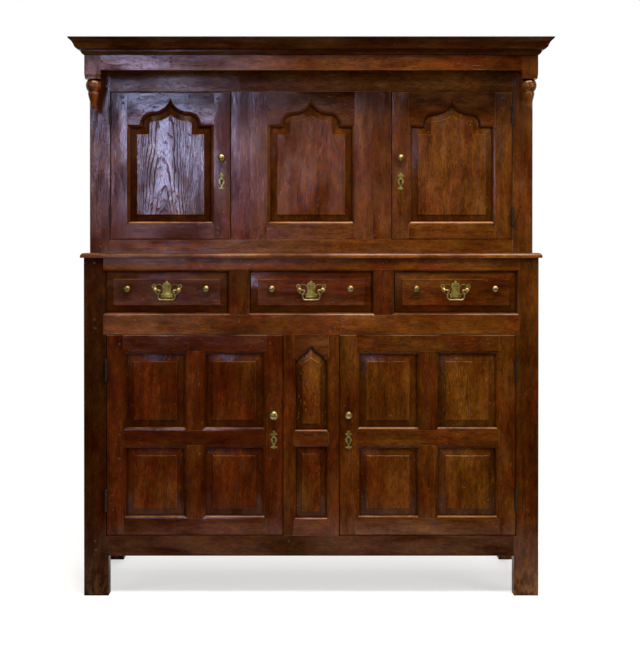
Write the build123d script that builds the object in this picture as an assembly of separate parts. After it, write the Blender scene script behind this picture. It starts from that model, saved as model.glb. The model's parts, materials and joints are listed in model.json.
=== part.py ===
from build123d import *
import math
import os
from collections import namedtuple

# A Welsh oak court cupboard in two stages, joined with mortise and tenon.
# Millimetres. X runs to the right, Y to the back, Z up. The front faces -Y.
# The origin is on the floor, under the middle of the overall box.

# ---- Overall sizes ----
lower_width = 1480.0
upper_width = 1476.0
carcass_depth = 540.0
recess = 110.0  # the upper doors stand this far behind the frieze
cornice_projection = 47.0
waist_overhang = 11.0

# ---- Heights ----
foot_height = 130.0
bottom_rail_height = 66.0
lower_doorway_height = 656.0
middle_rail_height = 62.5
drawer_bay_height = 149.5
top_rail_height = 37.0
waist_thickness = 16.0
upper_sill_height = 43.0
upper_doorway_height = 494.0
upper_head_height = 57.5
frieze_height = 90.5
cornice_height = 53.5
roof_thickness = 12.0

# ---- Posts, rails and muntins ----
post_depth = 45.0
lower_post_width = 72.0
foot_swell = 8.0
upper_post_width = 67.0
lower_back_post_width = 60.0
upper_back_post_width = 55.0
rail_thickness = 32.0
side_rail_thickness = 26.0
back_rail_thickness = 26.0
back_board_thickness = 12.0
drawer_muntin_width = 58.0
drawer_bay_width = 412.0
centre_unit_half = 90.0
centre_muntin_width = 33.0
centre_sill_rail = 50.5
centre_low_light = 244.8
centre_mid_rail = 42.2
centre_head_rail = 76.4  # from the ogee's shoulder up
upper_muntin_width = 61.0
upper_centre_width = 412.0
side_top_rail = 70.0
side_mid_rail = 62.5
side_muntin_width = 55.0
upper_side_mid_rail = 50.0
upper_side_low_light = 265.0
floor_thickness = 14.0
floor_gap = 2.0
stop_lip = 8.0
stop_lip_thickness = 9.0
stop_clearance = 0.3

# ---- Joinery ----
tenon_length = 26.0
small_tenon_length = 16.0
tenon_shoulder = 9.0
tenon_thickness = 8.0
tenon_set = 9.0  # from the face to the front cheek
groove_set = 10.5
groove_width = 6.0
groove_depth = 8.0
panel_slack = 1.0
moulding_depth = 8.5
ovolo = [(0.6, 0.28), (1, 1)]  # shares of the moulding's width and depth
head_margin = 8.0
bevel_top_set = 4.0
field_set = 2.0

# ---- Doors ----
door_thickness = 24.0
hinge_gap = 1.2
lock_gap = 1.5
head_gap = 1.0
lower_stile = 55.0
lower_muntin = 50.0
lower_top_rail = 61.0
lower_mid_rail = 48.6
lower_sill_rail = 53.5
lower_upper_light = 253.0
lower_sight = 11.0
lower_bevel = 23.0
upper_stile = 56.0
upper_centre_stile = 60.0
upper_sill_rail = 51.0
upper_head_rail = 110.0  # from the ogee's shoulder up to the doorway's head
upper_sight = 10.5
upper_bevel = 21.5
small_sight = 8.0
small_bevel = 20.0
side_bevel = 26.0

# ---- Drawers ----
drawer_gap = 1.0
drawer_sight = 8.0
drawer_front_set = 9.0
drawer_front_back = 28.0
drawer_bevel = 23.0
drawer_side_thickness = 11.0
drawer_side_height = 112.0
drawer_length = 460.0
drawer_bottom_thickness = 8.0
drawer_bottom_raise = 6.0
runner_clearance = 0.3
runner_thickness = 24.0
runner_lap = 28.0
guide_height = 18.0

# ---- Ironwork and brass ----
hinge_radius = 4.0
hinge_stand_off = 0.3
hinge_leaf = 1.6
hinge_leaf_gap = 0.3
hinge_leaf_depth = 17.0
hinge_pin_radius = 1.8
hinge_pin_share = 0.4  # of the hinge's length, in the door's knuckle
pin_clearance = 0.05
knuckle_clearance = 0.3
lower_hinge_length = 74.0
upper_hinge_length = 60.0
lower_hinge_inset = 115.5  # from the doorway's foot or head to the hinge's middle
upper_hinge_inset = 80.0
lock_width = 64.0
lock_height = 76.0
lock_depth = 20.0
lock_inset = 10.0  # clear of the stop behind the door's edge
lock_key_offset = 20.0
bolt_height = 24.0
bolt_thickness = 5.0
bolt_length = 44.0
bolt_clearance = 0.3
bolt_set = 1.0  # between the stop's back and the bolt
key_eye_radius = 2.6
key_slot_width = 2.8
key_slot_length = 9.0
lower_lock_rise = 312.0  # above the doorway's foot, as the knobs' rises are
upper_lock_rise = 194.0
escutcheon_thickness = 1.5
escutcheon_height = 61.0
escutcheon_width = 22.0
escutcheon_stem = 5.0
lower_knob_rise = 394.0
upper_knob_rise = 273.0
knob_radii = {"lower_left": 15.5, "lower_right": 12.5, "upper_left": 13.0, "upper_right": 11.5}
drawer_knob_radius = 11.0
drawer_knob_offset = 128.0
drawer_knob_rise = 11.5
handle_post_offset = 38.0
handle_post_rise = 6.6
handle_plate_thickness = 1.6
bail_stand_off = 12.0
bail_drop = 31.0
bail_radius = 2.4
bail_swell_radius = 3.6
bail_pin_radius = 1.6
post_ball_radius = 5.5
bail_gap = 0.4
bail_pin_past = 1.5  # how far a pin reaches past the ball's middle
bail_hook_reach = 25.0
bail_hook_radius = 3.6
bail_hook_turn = 140.0
bail_sway_radius = 14.0
bail_corner_radius = 10.0
bail_swell_length = 24.0
bail_flats = 2
bail_sides = 6

# ---- Pendants ----
block_width = 53.0
block_drop = 6.5
pendant_length = 119.0
pendant_bulb_radius = 24.5

# ---- Places worked out from the sizes above ----
overall_depth = carcass_depth + cornice_projection
face_y = cornice_projection - overall_depth / 2
back_y = overall_depth / 2
recess_y = face_y + recess
half = lower_width / 2
upper_half = upper_width / 2
bottom_rail_top = foot_height + bottom_rail_height
door_head = bottom_rail_top + lower_doorway_height
drawer_bottom_line = door_head + middle_rail_height
drawer_top_line = drawer_bottom_line + drawer_bay_height
waist_bottom = drawer_top_line + top_rail_height
waist_top = waist_bottom + waist_thickness
upper_sill = waist_top + upper_sill_height
upper_head = upper_sill + upper_doorway_height
frieze_bottom = upper_head + upper_head_height
frieze_top = frieze_bottom + frieze_height
cornice_top = frieze_top + roof_thickness
cornice_bottom = cornice_top - cornice_height
boards_y = back_y - back_board_thickness
back_rail_y = boards_y - back_rail_thickness
cut_over = 5.0  # how far a cutter runs past what it cuts
small = 1e-4
arch_flats = 4
knob_sides = 8
pendant_sides = 12
brass_sides = 8
pin_sides = 6
mid_rail_top = drawer_bottom_line + drawer_sight
lower_jamb = half - lower_post_width
upper_jamb = upper_half - upper_post_width

# An opening in a frame. Its edges are the outer lines of its moulding.
Opening = namedtuple("Opening", "left right bottom top sight bevel arch")
# Ogee head: (centre offset, foot radius, cusp radius) at the outer line, the same at the
# field, and the straight neck at the field.
Ogee = namedtuple("Ogee", "outer field neck")
large_ogee = Ogee((60.0, 43.0, 61.4), (60.0, 43.0 - 32.0, 61.4 + 32.0), 32.0)
small_ogee = Ogee((25.0, 22.0, 25.4), (14.0, 12.0, 20.6), 4.0)

nodes = {}


def keep(name, *shapes):
    solids = []
    for shape in shapes:
        solids += shape.solids()
    nodes.setdefault(name, []).extend(solids)


def both_sides(shape):
    return [shape, mirror(shape, about=Plane.YZ)]


def box(x0, x1, y0, y1, z0, z1):
    centre = Pos((x0 + x1) / 2, (y0 + y1) / 2, (z0 + z1) / 2)
    return centre * Box(abs(x1 - x0), abs(y1 - y0), abs(z1 - z0))


def front_plane(y):
    return Plane(origin=(0, y, 0), x_dir=(1, 0, 0), z_dir=(0, -1, 0))


def rectangle(x0, x1, z0, z1):
    return Pos((x0 + x1) / 2, (z0 + z1) / 2) * Rectangle(x1 - x0, z1 - z0)


def polygon(points):
    return make_face(Polyline(*points, close=True))


def slab(sketch, y_front, y_back):
    return extrude(front_plane(y_front) * sketch, amount=y_front - y_back)


# ---- Flat-faceted solids ----
def flat(points):
    """A flat face; points that coincide count once, and fewer than three make none."""
    ends = [point for i, point in enumerate(points) if (point - points[i - 1]).length > small]
    return [Face(Wire.make_polygon(ends))] if len(ends) > 2 else []


def skin(rings):
    """A closed solid through rings of points, with flat facets from each ring to the next."""
    faces = flat(rings[0]) + flat(rings[-1])
    for near, far in zip(rings, rings[1:]):
        for index in range(len(near)):
            a, b, c, d = near[index], near[index - 1], far[index - 1], far[index]
            if abs((b - a).cross(c - a).dot(d - a)) < small:
                faces += flat([a, b, c, d])
            else:
                faces += flat([a, b, c]) + flat([a, c, d])
    return Solid(Shell(faces))


def round_points(cx, cy, radius, start, end, flats):
    """Points along an arc, from one angle to another."""
    points = []
    for step in range(flats + 1):
        turn = math.radians(start + (end - start) * step / flats)
        points.append((cx + radius * math.cos(turn), cy + radius * math.sin(turn)))
    return points


def turned(profile, sides):
    """Turned about Z through (radius, height), and cut to flats."""
    rings = []
    for radius, height in profile:
        points = round_points(0, 0, radius, 0, 360, sides)[:-1]
        rings.append([Vector(x, y, height) for x, y in points])
    return skin(rings)


def pin(radius):
    return RegularPolygon(radius, pin_sides)


def bore(radius):
    """A hole whose flats clear the corners of the pin that turns in it."""
    return RegularPolygon((radius + pin_clearance) / math.cos(math.pi / pin_sides), pin_sides)


def knob(x, z, radius, y_base):
    profile = [(0.6, 0), (0.36, 0.3), (0.36, 0.62), (0.88, 0.92), (1, 1.2), (0.84, 1.62), (0.4, 1.88)]
    stations = [(r * radius, h * radius) for r, h in profile]
    return Pos(x, y_base, z) * Rot(90, 0, 0) * turned(stations, knob_sides)


# ---- Openings, mouldings and fielded panels ----
def ring(opening, inset, y):
    """The opening's edge moved inwards; an ogee head keeps its own shape as it shrinks."""
    left, right = opening.left + inset, opening.right - inset
    bottom, shoulder = opening.bottom + inset, opening.top - inset
    points = [(left, bottom), (right, bottom), (right, shoulder)]
    if opening.arch:
        share = inset / (opening.sight + opening.bevel)
        outer, field = opening.arch.outer, opening.arch.field
        centre, foot, cusp = [a + (b - a) * share for a, b in zip(outer, field)]
        spring = shoulder + opening.arch.neck * share
        cusp_angle = math.degrees(math.acos(centre / cusp))
        head = [(centre + foot, shoulder)]
        head += round_points(centre, spring, foot, 0, 90, arch_flats)
        head += round_points(centre, spring + foot + cusp, cusp, 270, 180 + cusp_angle, arch_flats)[1:]
        middle = (left + right) / 2
        points += [(middle + x, z) for x, z in head]
        points += [(middle - x, z) for x, z in reversed(head[:-1])]
    points.append((left, shoulder))
    return [Vector(x, y, z) for x, z in points]


def run_round(opening, steps):
    """Work that runs round an opening: steps through its section are (inset, y)."""
    return skin([ring(opening, inset, y) for inset, y in steps])


def moulded_cutter(opening, face, back):
    """What an opening takes out of its frame: a moulded margin, then straight through."""
    steps = [(0, face - cut_over), (0, face)]
    steps += [(opening.sight * across, face + moulding_depth * down) for across, down in ovolo]
    return run_round(opening, steps + [(opening.sight, back + cut_over)])


def head_span(opening, margin):
    """The rectangle round an ogee head: left, right, bottom and top."""
    centre, foot, cusp = opening.arch.outer
    middle = (opening.left + opening.right) / 2
    apex = opening.top + foot + cusp - math.sqrt(cusp**2 - centre**2)
    reach = centre + foot + margin
    return middle - reach, middle + reach, opening.top - 2 * opening.sight, apex + margin


def plain_light(opening, inset):
    return rectangle(
        opening.left + inset, opening.right - inset, opening.bottom + inset, opening.top - inset
    )


def groove_cutter(opening, face):
    """The panel's groove; behind an ogee head it opens into a rebate."""
    front = face + groove_set
    groove = slab(plain_light(opening, opening.sight - groove_depth), front, front + groove_width)
    if opening.arch:
        groove += slab(rectangle(*head_span(opening, head_margin)), front, face + rail_thickness)
    return groove


def fielded(opening, face, tongue_inset, edge_set, back_set):
    """A board with a bevelled margin and a raised field."""
    outer = opening.sight + opening.bevel
    edge, back = face + edge_set, face + back_set
    field = [(opening.sight, edge), (outer, face + bevel_top_set), (outer, face + field_set)]
    board = slab(plain_light(opening, tongue_inset), edge, back)
    if opening.arch:
        board += slab(rectangle(*head_span(opening, head_margin - panel_slack)), edge, back)
    return board + run_round(opening, field)


def panel(opening, face):
    inset = opening.sight - groove_depth + panel_slack
    return fielded(opening, face, inset, groove_set, groove_set + groove_width)


# ---- Frame members ----
def mitre_strips(opening, span):
    """The strips of moulding, mitred at their ends, that a member carries."""
    x0, x1, z0, z1 = span
    s = opening.sight
    left, right, bottom, top = opening.left, opening.right, opening.bottom, opening.top
    tall = z0 <= bottom and z1 >= top
    wide = x0 <= left and x1 >= right
    strips = []
    if tall and x1 == left:
        strips.append([(left, bottom), (left + s, bottom + s), (left + s, top - s), (left, top)])
    if tall and x0 == right:
        strips.append([(right, bottom), (right - s, bottom + s), (right - s, top - s), (right, top)])
    if wide and z1 == bottom:
        strips.append([(left, bottom), (right, bottom), (right - s, bottom + s), (left + s, bottom + s)])
    if wide and z0 == top:
        strips.append([(left, top), (right, top), (right - s, top - s), (left + s, top - s)])
    return [polygon(points) for points in strips]


def member(spans, openings, face, thickness, tenons=(), mortises=()):
    """One board of a frame; spans are its face rectangles as (left, right, bottom, top)."""
    sketch = rectangle(*spans[0])
    for span in spans[1:]:
        sketch += rectangle(*span)
    touching = []
    for opening in openings:
        near = any(
            x0 <= opening.right and x1 >= opening.left and z0 <= opening.top and z1 >= opening.bottom
            for x0, x1, z0, z1 in spans
        )
        if near:
            touching.append(opening)
    for opening in touching:
        if opening.sight > 0:
            for span in spans:
                for strip in mitre_strips(opening, span):
                    sketch += strip
    solid = slab(sketch, face, face + thickness)
    for opening in touching:
        if opening.sight > 0:
            solid -= moulded_cutter(opening, face, face + thickness)
        if opening.bevel > 0:
            solid -= groove_cutter(opening, face)
    for tenon in tenons:
        solid += tenon
    for mortise in mortises:
        solid -= mortise
    return solid


def rail_tenon(x, reach, z0, z1, face):
    front = face + tenon_set
    return box(x, x + reach, front, front + tenon_thickness, z0 + tenon_shoulder, z1 - tenon_shoulder)


def rail_tenons(x0, x1, z0, z1, face, reach=tenon_length):
    return [rail_tenon(x0, -reach, z0, z1, face), rail_tenon(x1, reach, z0, z1, face)]


def muntin_tenons(x0, x1, z0, z1, face, reach=small_tenon_length):
    front = face + tenon_set
    back = front + tenon_thickness
    inner = (x0 + tenon_shoulder, x1 - tenon_shoulder)
    return [box(*inner, front, back, z0 - reach, z0), box(*inner, front, back, z1, z1 + reach)]


# ---- Lower stage: posts, front frame and its openings ----
left_bay = Opening(
    -half + lower_post_width - drawer_sight,
    -drawer_bay_width / 2 - drawer_muntin_width,
    drawer_bottom_line,
    drawer_top_line,
    drawer_sight,
    0,
    None,
)
centre_bay = left_bay._replace(left=-drawer_bay_width / 2, right=drawer_bay_width / 2)
right_bay = left_bay._replace(left=-left_bay.right, right=-left_bay.left)
centre_light = centre_unit_half - centre_muntin_width
small_panel_top = bottom_rail_top + centre_sill_rail + centre_low_light
small_head = Opening(
    -centre_light,
    centre_light,
    small_panel_top + centre_mid_rail,
    door_head - centre_head_rail,
    small_sight,
    small_bevel,
    small_ogee,
)
small_panel = small_head._replace(
    bottom=bottom_rail_top + centre_sill_rail, top=small_panel_top, arch=None
)
lower_openings = [left_bay, centre_bay, right_bay, small_head, small_panel]


def lower_front_frame():
    face = face_y
    drawer_jamb = -left_bay.left
    foot_edge = half - lower_post_width - foot_swell
    spans = {
        "top": (-drawer_jamb, drawer_jamb, drawer_top_line, waist_bottom),
        "middle": (-drawer_jamb, drawer_jamb, door_head, drawer_bottom_line),
        "sill": (-foot_edge, foot_edge, foot_height, bottom_rail_top),
    }
    tenons = {}
    for name, (x0, x1, z0, z1) in spans.items():
        tenons[name] = rail_tenons(x0, x1, z0, z1, face)
    drawer_muntins = [
        (left_bay.right, centre_bay.left, drawer_bottom_line, drawer_top_line),
        (centre_bay.right, right_bay.left, drawer_bottom_line, drawer_top_line),
    ]
    centre_muntins = [
        (-centre_unit_half, -centre_light, bottom_rail_top, door_head),
        (centre_light, centre_unit_half, bottom_rail_top, door_head),
    ]
    small_rails = [
        (-centre_light, centre_light, bottom_rail_top, small_panel.bottom),
        (-centre_light, centre_light, small_panel.top, small_head.bottom),
        (-centre_light, centre_light, small_head.top, door_head),
    ]
    upright_tenons = []
    for span in drawer_muntins + centre_muntins:
        upright_tenons.append(muntin_tenons(*span, face))
    small_tenons = [rail_tenons(*span, face, small_tenon_length) for span in small_rails]
    mortises = [tenon for pair in upright_tenons for tenon in pair]

    for name, span in spans.items():
        rail = member([span], lower_openings, face, rail_thickness, tenons[name], mortises)
        keep("lower_front_rails", rail)
    for span, pair in zip(drawer_muntins + centre_muntins, upright_tenons):
        holes = [t for pair_of_tenons in small_tenons for t in pair_of_tenons]
        keep("lower_muntins", member([span], lower_openings, face, rail_thickness, pair, holes))
    door_stop(-centre_unit_half, bottom_rail_top + floor_thickness, door_head, face)
    for span, pair in zip(small_rails, small_tenons):
        keep("lower_muntins", member([span], lower_openings, face, rail_thickness, pair))
    keep("lower_centre_panels", panel(small_head, face), panel(small_panel, face))

    post = member(
        [
            (-half, left_bay.left, 0, waist_bottom),
            (-half, -lower_jamb, 0, door_head),
            (-half, -foot_edge, 0, bottom_rail_top),
        ],
        [left_bay],
        face,
        post_depth,
        (),
        [pair[0] for pair in tenons.values()],
    )
    post -= side_grooves(lower_side_lights, -half)
    for tenon in side_tenons(lower_side_rails, -half):
        post -= tenon
    for height in hinge_heights(bottom_rail_top, door_head, lower_hinge_inset):
        post -= leaf_recess(-lower_jamb, 1, height, lower_hinge_length, face)
    keep("lower_posts", *both_sides(post))


def door_stop(x, z0, z1, face):
    """A lath nailed to the muntin's edge, behind each closed door."""
    front = face + door_thickness + stop_clearance
    keep("door_stops", *both_sides(box(x - stop_lip, x, front, front + stop_lip_thickness, z0, z1)))


# ---- Sides: grooved rails, muntins and fielded panels between the posts ----
def on_side(shape, x):
    """Turns work made as a front, with its face at y = 0, to the left side at x."""
    return Pos(x, 0, 0) * Rot(0, 0, -90) * shape


side_front = face_y + post_depth
side_back = back_y - post_depth
upper_side_front = recess_y + post_depth
# In a side's own view the left edge is the back, so its X is -Y.
lower_side_rails = [
    (-side_back, -side_front, foot_height, bottom_rail_top),
    (-side_back, -side_front, mid_rail_top - side_mid_rail, mid_rail_top),
    (-side_back, -side_front, waist_bottom - side_top_rail, waist_bottom),
]
side_middle = -(side_front + side_back) / 2
lower_side_muntin = (
    side_middle - side_muntin_width / 2,
    side_middle + side_muntin_width / 2,
    bottom_rail_top,
    mid_rail_top - side_mid_rail,
)
lower_side_lights = [
    Opening(-side_back, lower_side_muntin[0], bottom_rail_top, lower_side_muntin[3], 0, side_bevel, None),
    Opening(lower_side_muntin[1], -side_front, bottom_rail_top, lower_side_muntin[3], 0, side_bevel, None),
    Opening(-side_back, -side_front, mid_rail_top, waist_bottom - side_top_rail, 0, side_bevel, None),
]
upper_side_mid = upper_sill + upper_side_low_light
upper_side_rails = [
    (-side_back, -upper_side_front, waist_top, upper_sill),
    (-side_back, -upper_side_front, upper_side_mid, upper_side_mid + upper_side_mid_rail),
]
upper_side_lights = [
    Opening(-side_back, -upper_side_front, upper_sill, upper_side_mid, 0, side_bevel, None),
    Opening(
        -side_back,
        -upper_side_front,
        upper_side_mid + upper_side_mid_rail,
        frieze_bottom,
        0,
        side_bevel,
        None,
    ),
]


def side_grooves(lights, x):
    cutters = on_side(groove_cutter(lights[0], 0), x)
    for light in lights[1:]:
        cutters += on_side(groove_cutter(light, 0), x)
    return cutters


def side_tenons(spans, x):
    tenons = []
    for span in spans:
        tenons += [on_side(tenon, x) for tenon in rail_tenons(*span, 0)]
    return tenons


def side_frame(prefix, spans, muntins, lights, x):
    muntin_joints = [tenon for span in muntins for tenon in muntin_tenons(*span, 0)]
    for span in spans:
        rail = member([span], lights, 0, side_rail_thickness, rail_tenons(*span, 0), muntin_joints)
        keep(f"{prefix}_side_and_back_rails", *both_sides(on_side(rail, x)))
    for span in muntins:
        upright = member([span], lights, 0, side_rail_thickness, muntin_tenons(*span, 0))
        keep(f"{prefix}_side_and_back_rails", *both_sides(on_side(upright, x)))
    for light in lights:
        keep(f"{prefix}_side_panels", *both_sides(on_side(panel(light, 0), x)))


def back_post(x, width, z0, z1, lights, rails):
    post = box(x, x + width, side_back, back_y, z0, z1)
    post -= side_grooves(lights, x)
    for tenon in side_tenons(rails, x):
        post -= tenon
    return post


def back_boards(name, half_span, z0, z1, count):
    pitch = 2 * half_span / count
    for index in range(count):
        left = -half_span + index * pitch
        keep(name, box(left, left + pitch, boards_y, back_y, z0, z1))


def lower_sides_and_back():
    side_frame("lower", lower_side_rails, [lower_side_muntin], lower_side_lights, -half)
    post = back_post(-half, lower_back_post_width, 0, waist_bottom, lower_side_lights, lower_side_rails)
    keep("lower_posts", *both_sides(post))
    inner = half - lower_back_post_width
    for x0, x1, z0, z1 in lower_side_rails:
        keep("lower_side_and_back_rails", box(-inner, inner, back_rail_y, boards_y, z0, z1))
    back_boards("lower_back_boards", inner, foot_height, waist_bottom, 7)


# ---- Floor, drawer runners and waist ----
def floor_boards(count=4):
    front = face_y + door_thickness + floor_gap
    inner = half - side_rail_thickness
    pitch = (back_rail_y - front) / count
    corners = box(-half, -lower_jamb, face_y, side_front, 0, door_head)
    corners += box(-half, -half + lower_back_post_width, side_back, back_y, 0, door_head)
    corners += mirror(corners, about=Plane.YZ)
    muntins = box(-centre_unit_half, centre_unit_half, front, face_y + rail_thickness, 0, door_head)
    for index in range(count):
        y0 = front + index * pitch
        board = box(-inner, inner, y0, y0 + pitch, bottom_rail_top, bottom_rail_top + floor_thickness)
        board -= corners
        if index == 0:
            board -= muntins
        keep("floor_boards", board)


def drawer_runners():
    front = face_y + rail_thickness
    top = mid_rail_top
    side_inner = half - side_rail_thickness
    bays = [left_bay, centre_bay, right_bay]
    edges = [(bay.left + drawer_sight, bay.right - drawer_sight) for bay in bays]
    strips = [(-side_inner, edges[0][0])]
    for first, second in zip(edges, edges[1:]):
        strips.append((first[1], second[0]))
    strips.append((edges[-1][1], side_inner))
    for index, (x0, x1) in enumerate(strips):
        left = x0 if index == 0 else x0 - runner_lap
        right = x1 if index == len(strips) - 1 else x1 + runner_lap
        start = side_front if index in (0, len(strips) - 1) else front
        end = side_back if index in (0, len(strips) - 1) else back_rail_y
        keep("drawer_runners", box(left, right, start, end, top - runner_thickness, top))
        keep("drawer_runners", box(x0, x1, start, end, top, top + guide_height))


def waist_boards(count=3):
    front = face_y - waist_overhang
    side = half + waist_overhang
    board = box(-side, side, front, back_y, waist_bottom, waist_top)
    arrises = board.edges().filter_by(GeomType.LINE).filter_by_position(Axis.Z, waist_top, waist_top)
    shown = [e for e in arrises if e.center().Y < back_y - 1]
    board = fillet(shown, waist_overhang + 1)
    pitch = (back_y - front) / count
    for index in range(count):
        y0 = front + index * pitch
        cutter = box(-side - cut_over, side + cut_over, y0, y0 + pitch, waist_bottom, waist_top)
        keep("waist_boards", board & cutter)


# ---- Upper stage ----
upper_centre_half = upper_centre_width / 2
centre_arched = Opening(
    -upper_centre_half + upper_centre_stile,
    upper_centre_half - upper_centre_stile,
    upper_sill + upper_sill_rail,
    upper_head - upper_head_rail,
    upper_sight,
    upper_bevel,
    large_ogee,
)
door_outer = -upper_jamb + hinge_gap
door_inner = -upper_centre_half - upper_muntin_width - lock_gap
door_arched = centre_arched._replace(left=door_outer + upper_stile, right=door_inner - upper_stile)


def upper_front_frame():
    face = recess_y
    frieze_inner = upper_half - rail_thickness
    head = [
        (-upper_jamb, upper_jamb, upper_head, frieze_bottom),
        (-frieze_inner, frieze_inner, frieze_bottom, frieze_top),
    ]
    sill = (-upper_jamb, upper_jamb, waist_top, upper_sill)
    muntin = (-upper_centre_half - upper_muntin_width, -upper_centre_half, upper_sill, upper_head)
    head_tenons = rail_tenons(*head[0], face)
    sill_tenons = rail_tenons(*sill, face)
    joints = muntin_tenons(*muntin, face)
    mirrored = [mirror(joint, about=Plane.YZ) for joint in joints]
    keep("upper_front_rails", member(head, [], face, rail_thickness, head_tenons, joints + mirrored))
    keep("upper_front_rails", member([sill], [], face, rail_thickness, sill_tenons, joints + mirrored))
    upright = member([muntin], [], face, rail_thickness, joints)
    door_stop(muntin[0], upper_sill, upper_head, face)
    keep("upper_muntins", *both_sides(upright))

    post = box(-upper_half, -upper_jamb, face, upper_side_front, waist_top, frieze_bottom)
    for tenon in (head_tenons[0], sill_tenons[0]):
        post -= tenon
    post -= side_grooves(upper_side_lights, -upper_half)
    for tenon in side_tenons(upper_side_rails, -upper_half):
        post -= tenon
    for height in hinge_heights(upper_sill, upper_head, upper_hinge_inset):
        post -= leaf_recess(-upper_jamb, 1, height, upper_hinge_length, face)
    keep("upper_posts", *both_sides(post))


def arched_frame(opening, left, right, z0, z1, face, thickness):
    """Two stiles and two rails round one opening, the head rail cut to the ogee."""
    stiles = [(left, opening.left, z0, z1), (opening.right, right, z0, z1)]
    span = (opening.left, opening.right)
    rails = [(*span, z0, opening.bottom), (*span, opening.top, z1)]
    tenons = [rail_tenons(*rail, face) for rail in rails]
    mortises = [tenon for pair in tenons for tenon in pair]
    parts = [member([span], [opening], face, thickness, (), mortises) for span in stiles]
    parts += [member([span], [opening], face, thickness, pair) for span, pair in zip(rails, tenons)]
    return parts


def upper_centre():
    frame = arched_frame(
        centre_arched,
        -upper_centre_half,
        upper_centre_half,
        upper_sill,
        upper_head,
        recess_y,
        door_thickness,
    )
    keep("upper_centre_frame", *frame)
    keep("upper_centre_panel", panel(centre_arched, recess_y))


def upper_sides_and_back():
    side_frame("upper", upper_side_rails, [], upper_side_lights, -upper_half)
    post = back_post(
        -upper_half, upper_back_post_width, waist_top, frieze_top, upper_side_lights, upper_side_rails
    )
    for tenon in frieze_side_tenons():
        post -= tenon
    keep("upper_posts", *both_sides(post))
    inner = upper_half - upper_back_post_width
    for z0, z1 in ((waist_top, upper_sill), (upper_head, frieze_top)):
        keep("upper_side_and_back_rails", box(-inner, inner, back_rail_y, boards_y, z0, z1))
    back_boards("upper_back_boards", inner, waist_top, frieze_top, 7)


# ---- Frieze, pendants, cornice and roof ----
frieze_side_span = (-side_back, -face_y - block_width, frieze_bottom, frieze_top)


def frieze_side_tenons():
    return [on_side(tenon, -upper_half) for tenon in rail_tenons(*frieze_side_span, 0)]


def frieze_front_tenons():
    inner = upper_half - block_width
    return rail_tenons(-inner, inner, frieze_bottom, frieze_top, face_y, small_tenon_length)


def frieze():
    inner = upper_half - block_width
    front = box(-inner, inner, face_y, face_y + rail_thickness, frieze_bottom, frieze_top)
    for tenon in frieze_front_tenons():
        front += tenon
    keep("frieze_rails", front)
    tenons = rail_tenons(*frieze_side_span, 0)
    rail = member([frieze_side_span], [], 0, rail_thickness, tenons)
    rail = on_side(rail, -upper_half) - side_grooves(upper_side_lights, -upper_half)
    keep("frieze_rails", *both_sides(rail))


def corner_pendants():
    """Square block, coved neck, round bulb and a beaded tail, turned from one piece."""
    x = -upper_half + block_width / 2
    y = face_y + block_width / 2
    low = frieze_bottom - block_drop
    block = box(-upper_half, -upper_half + block_width, face_y, face_y + block_width, low, frieze_top)
    block -= frieze_front_tenons()[0]
    block -= frieze_side_tenons()[1]
    bulb = pendant_bulb_radius
    profile = [(1.06, 0), (0.88, 0.08), (0.88, 0.17), (1, 0.33), (0.94, 0.47), (0.66, 0.59)]
    profile += [(0.42, 0.65), (0.37, 0.74), (0.47, 0.78), (0.38, 0.83), (0.15, 1)]
    stations = [(r * bulb, drop * pendant_length) for r, drop in profile]
    turning = Pos(x, y, low) * Rot(180, 0, 0) * turned(stations, pendant_sides)
    keep("corner_pendants", *both_sides(block + turning))


def cornice_profile():
    """Section of the cornice: across is how far it stands out, up is from its foot."""
    out = cornice_projection
    rise = cornice_top - cornice_bottom
    edges = [
        Line((0, 0), (0, rise)),
        Line((0, rise), (out, rise)),
        Line((out, rise), (out - 1.5, rise - 5)),
        ThreePointArc((out - 1.5, rise - 5), (out * 0.715, rise * 0.69), (out * 0.63, rise * 0.53)),
        ThreePointArc((out * 0.63, rise * 0.53), (out * 0.53, rise * 0.39), (out * 0.28, rise * 0.28)),
        Line((out * 0.28, rise * 0.28), (out * 0.22, rise * 0.28)),
        Line((out * 0.22, rise * 0.28), (out * 0.21, rise * 0.19)),
        ThreePointArc((out * 0.21, rise * 0.19), (out * 0.14, rise * 0.07), (0, 0)),
    ]
    return make_face(edges)


def cornice():
    out = cornice_projection
    side = upper_half
    front_run = Plane(origin=(side + out, face_y, cornice_bottom), x_dir=(0, -1, 0), z_dir=(-1, 0, 0))
    front = extrude(front_run * cornice_profile(), amount=2 * (side + out))
    plan = [(-side, face_y), (side, face_y), (side + out, face_y - out), (-side - out, face_y - out)]
    height = cornice_top - cornice_bottom + 2 * cut_over
    mitre = extrude(Pos(0, 0, cornice_bottom - cut_over) * polygon(plan), amount=height)
    keep("cornice", front & mitre)
    side_run = Plane(origin=(-side, face_y - out, cornice_bottom), x_dir=(-1, 0, 0), z_dir=(0, 1, 0))
    length = extrude(side_run * cornice_profile(), amount=back_y - face_y + out)
    plan = [(-side, face_y), (-side, back_y), (-side - out, back_y), (-side - out, face_y - out)]
    mitre = extrude(Pos(0, 0, cornice_bottom - cut_over) * polygon(plan), amount=height)
    keep("cornice", *both_sides(length & mitre))


def roof_boards(count=4):
    pitch = (back_y - face_y) / count
    for index in range(count):
        y0 = face_y + index * pitch
        keep("roof_boards", box(-upper_half, upper_half, y0, y0 + pitch, frieze_top, cornice_top))


# ---- Hinges ----
def hinge_axis(face):
    return face - hinge_radius - hinge_stand_off


def hinge_heights(foot, head, inset):
    return foot + inset, head - inset


def leaf_recess(edge, side, height, length, face):
    """Housing for a leaf; edge is the wood's edge and side points to the hinge's middle."""
    reach = hinge_leaf + hinge_leaf_gap / 2 - hinge_gap / 2
    z0 = height - length / 2
    return box(edge, edge - side * reach, face - cut_over, face + hinge_leaf_depth, z0, z0 + length)


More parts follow.
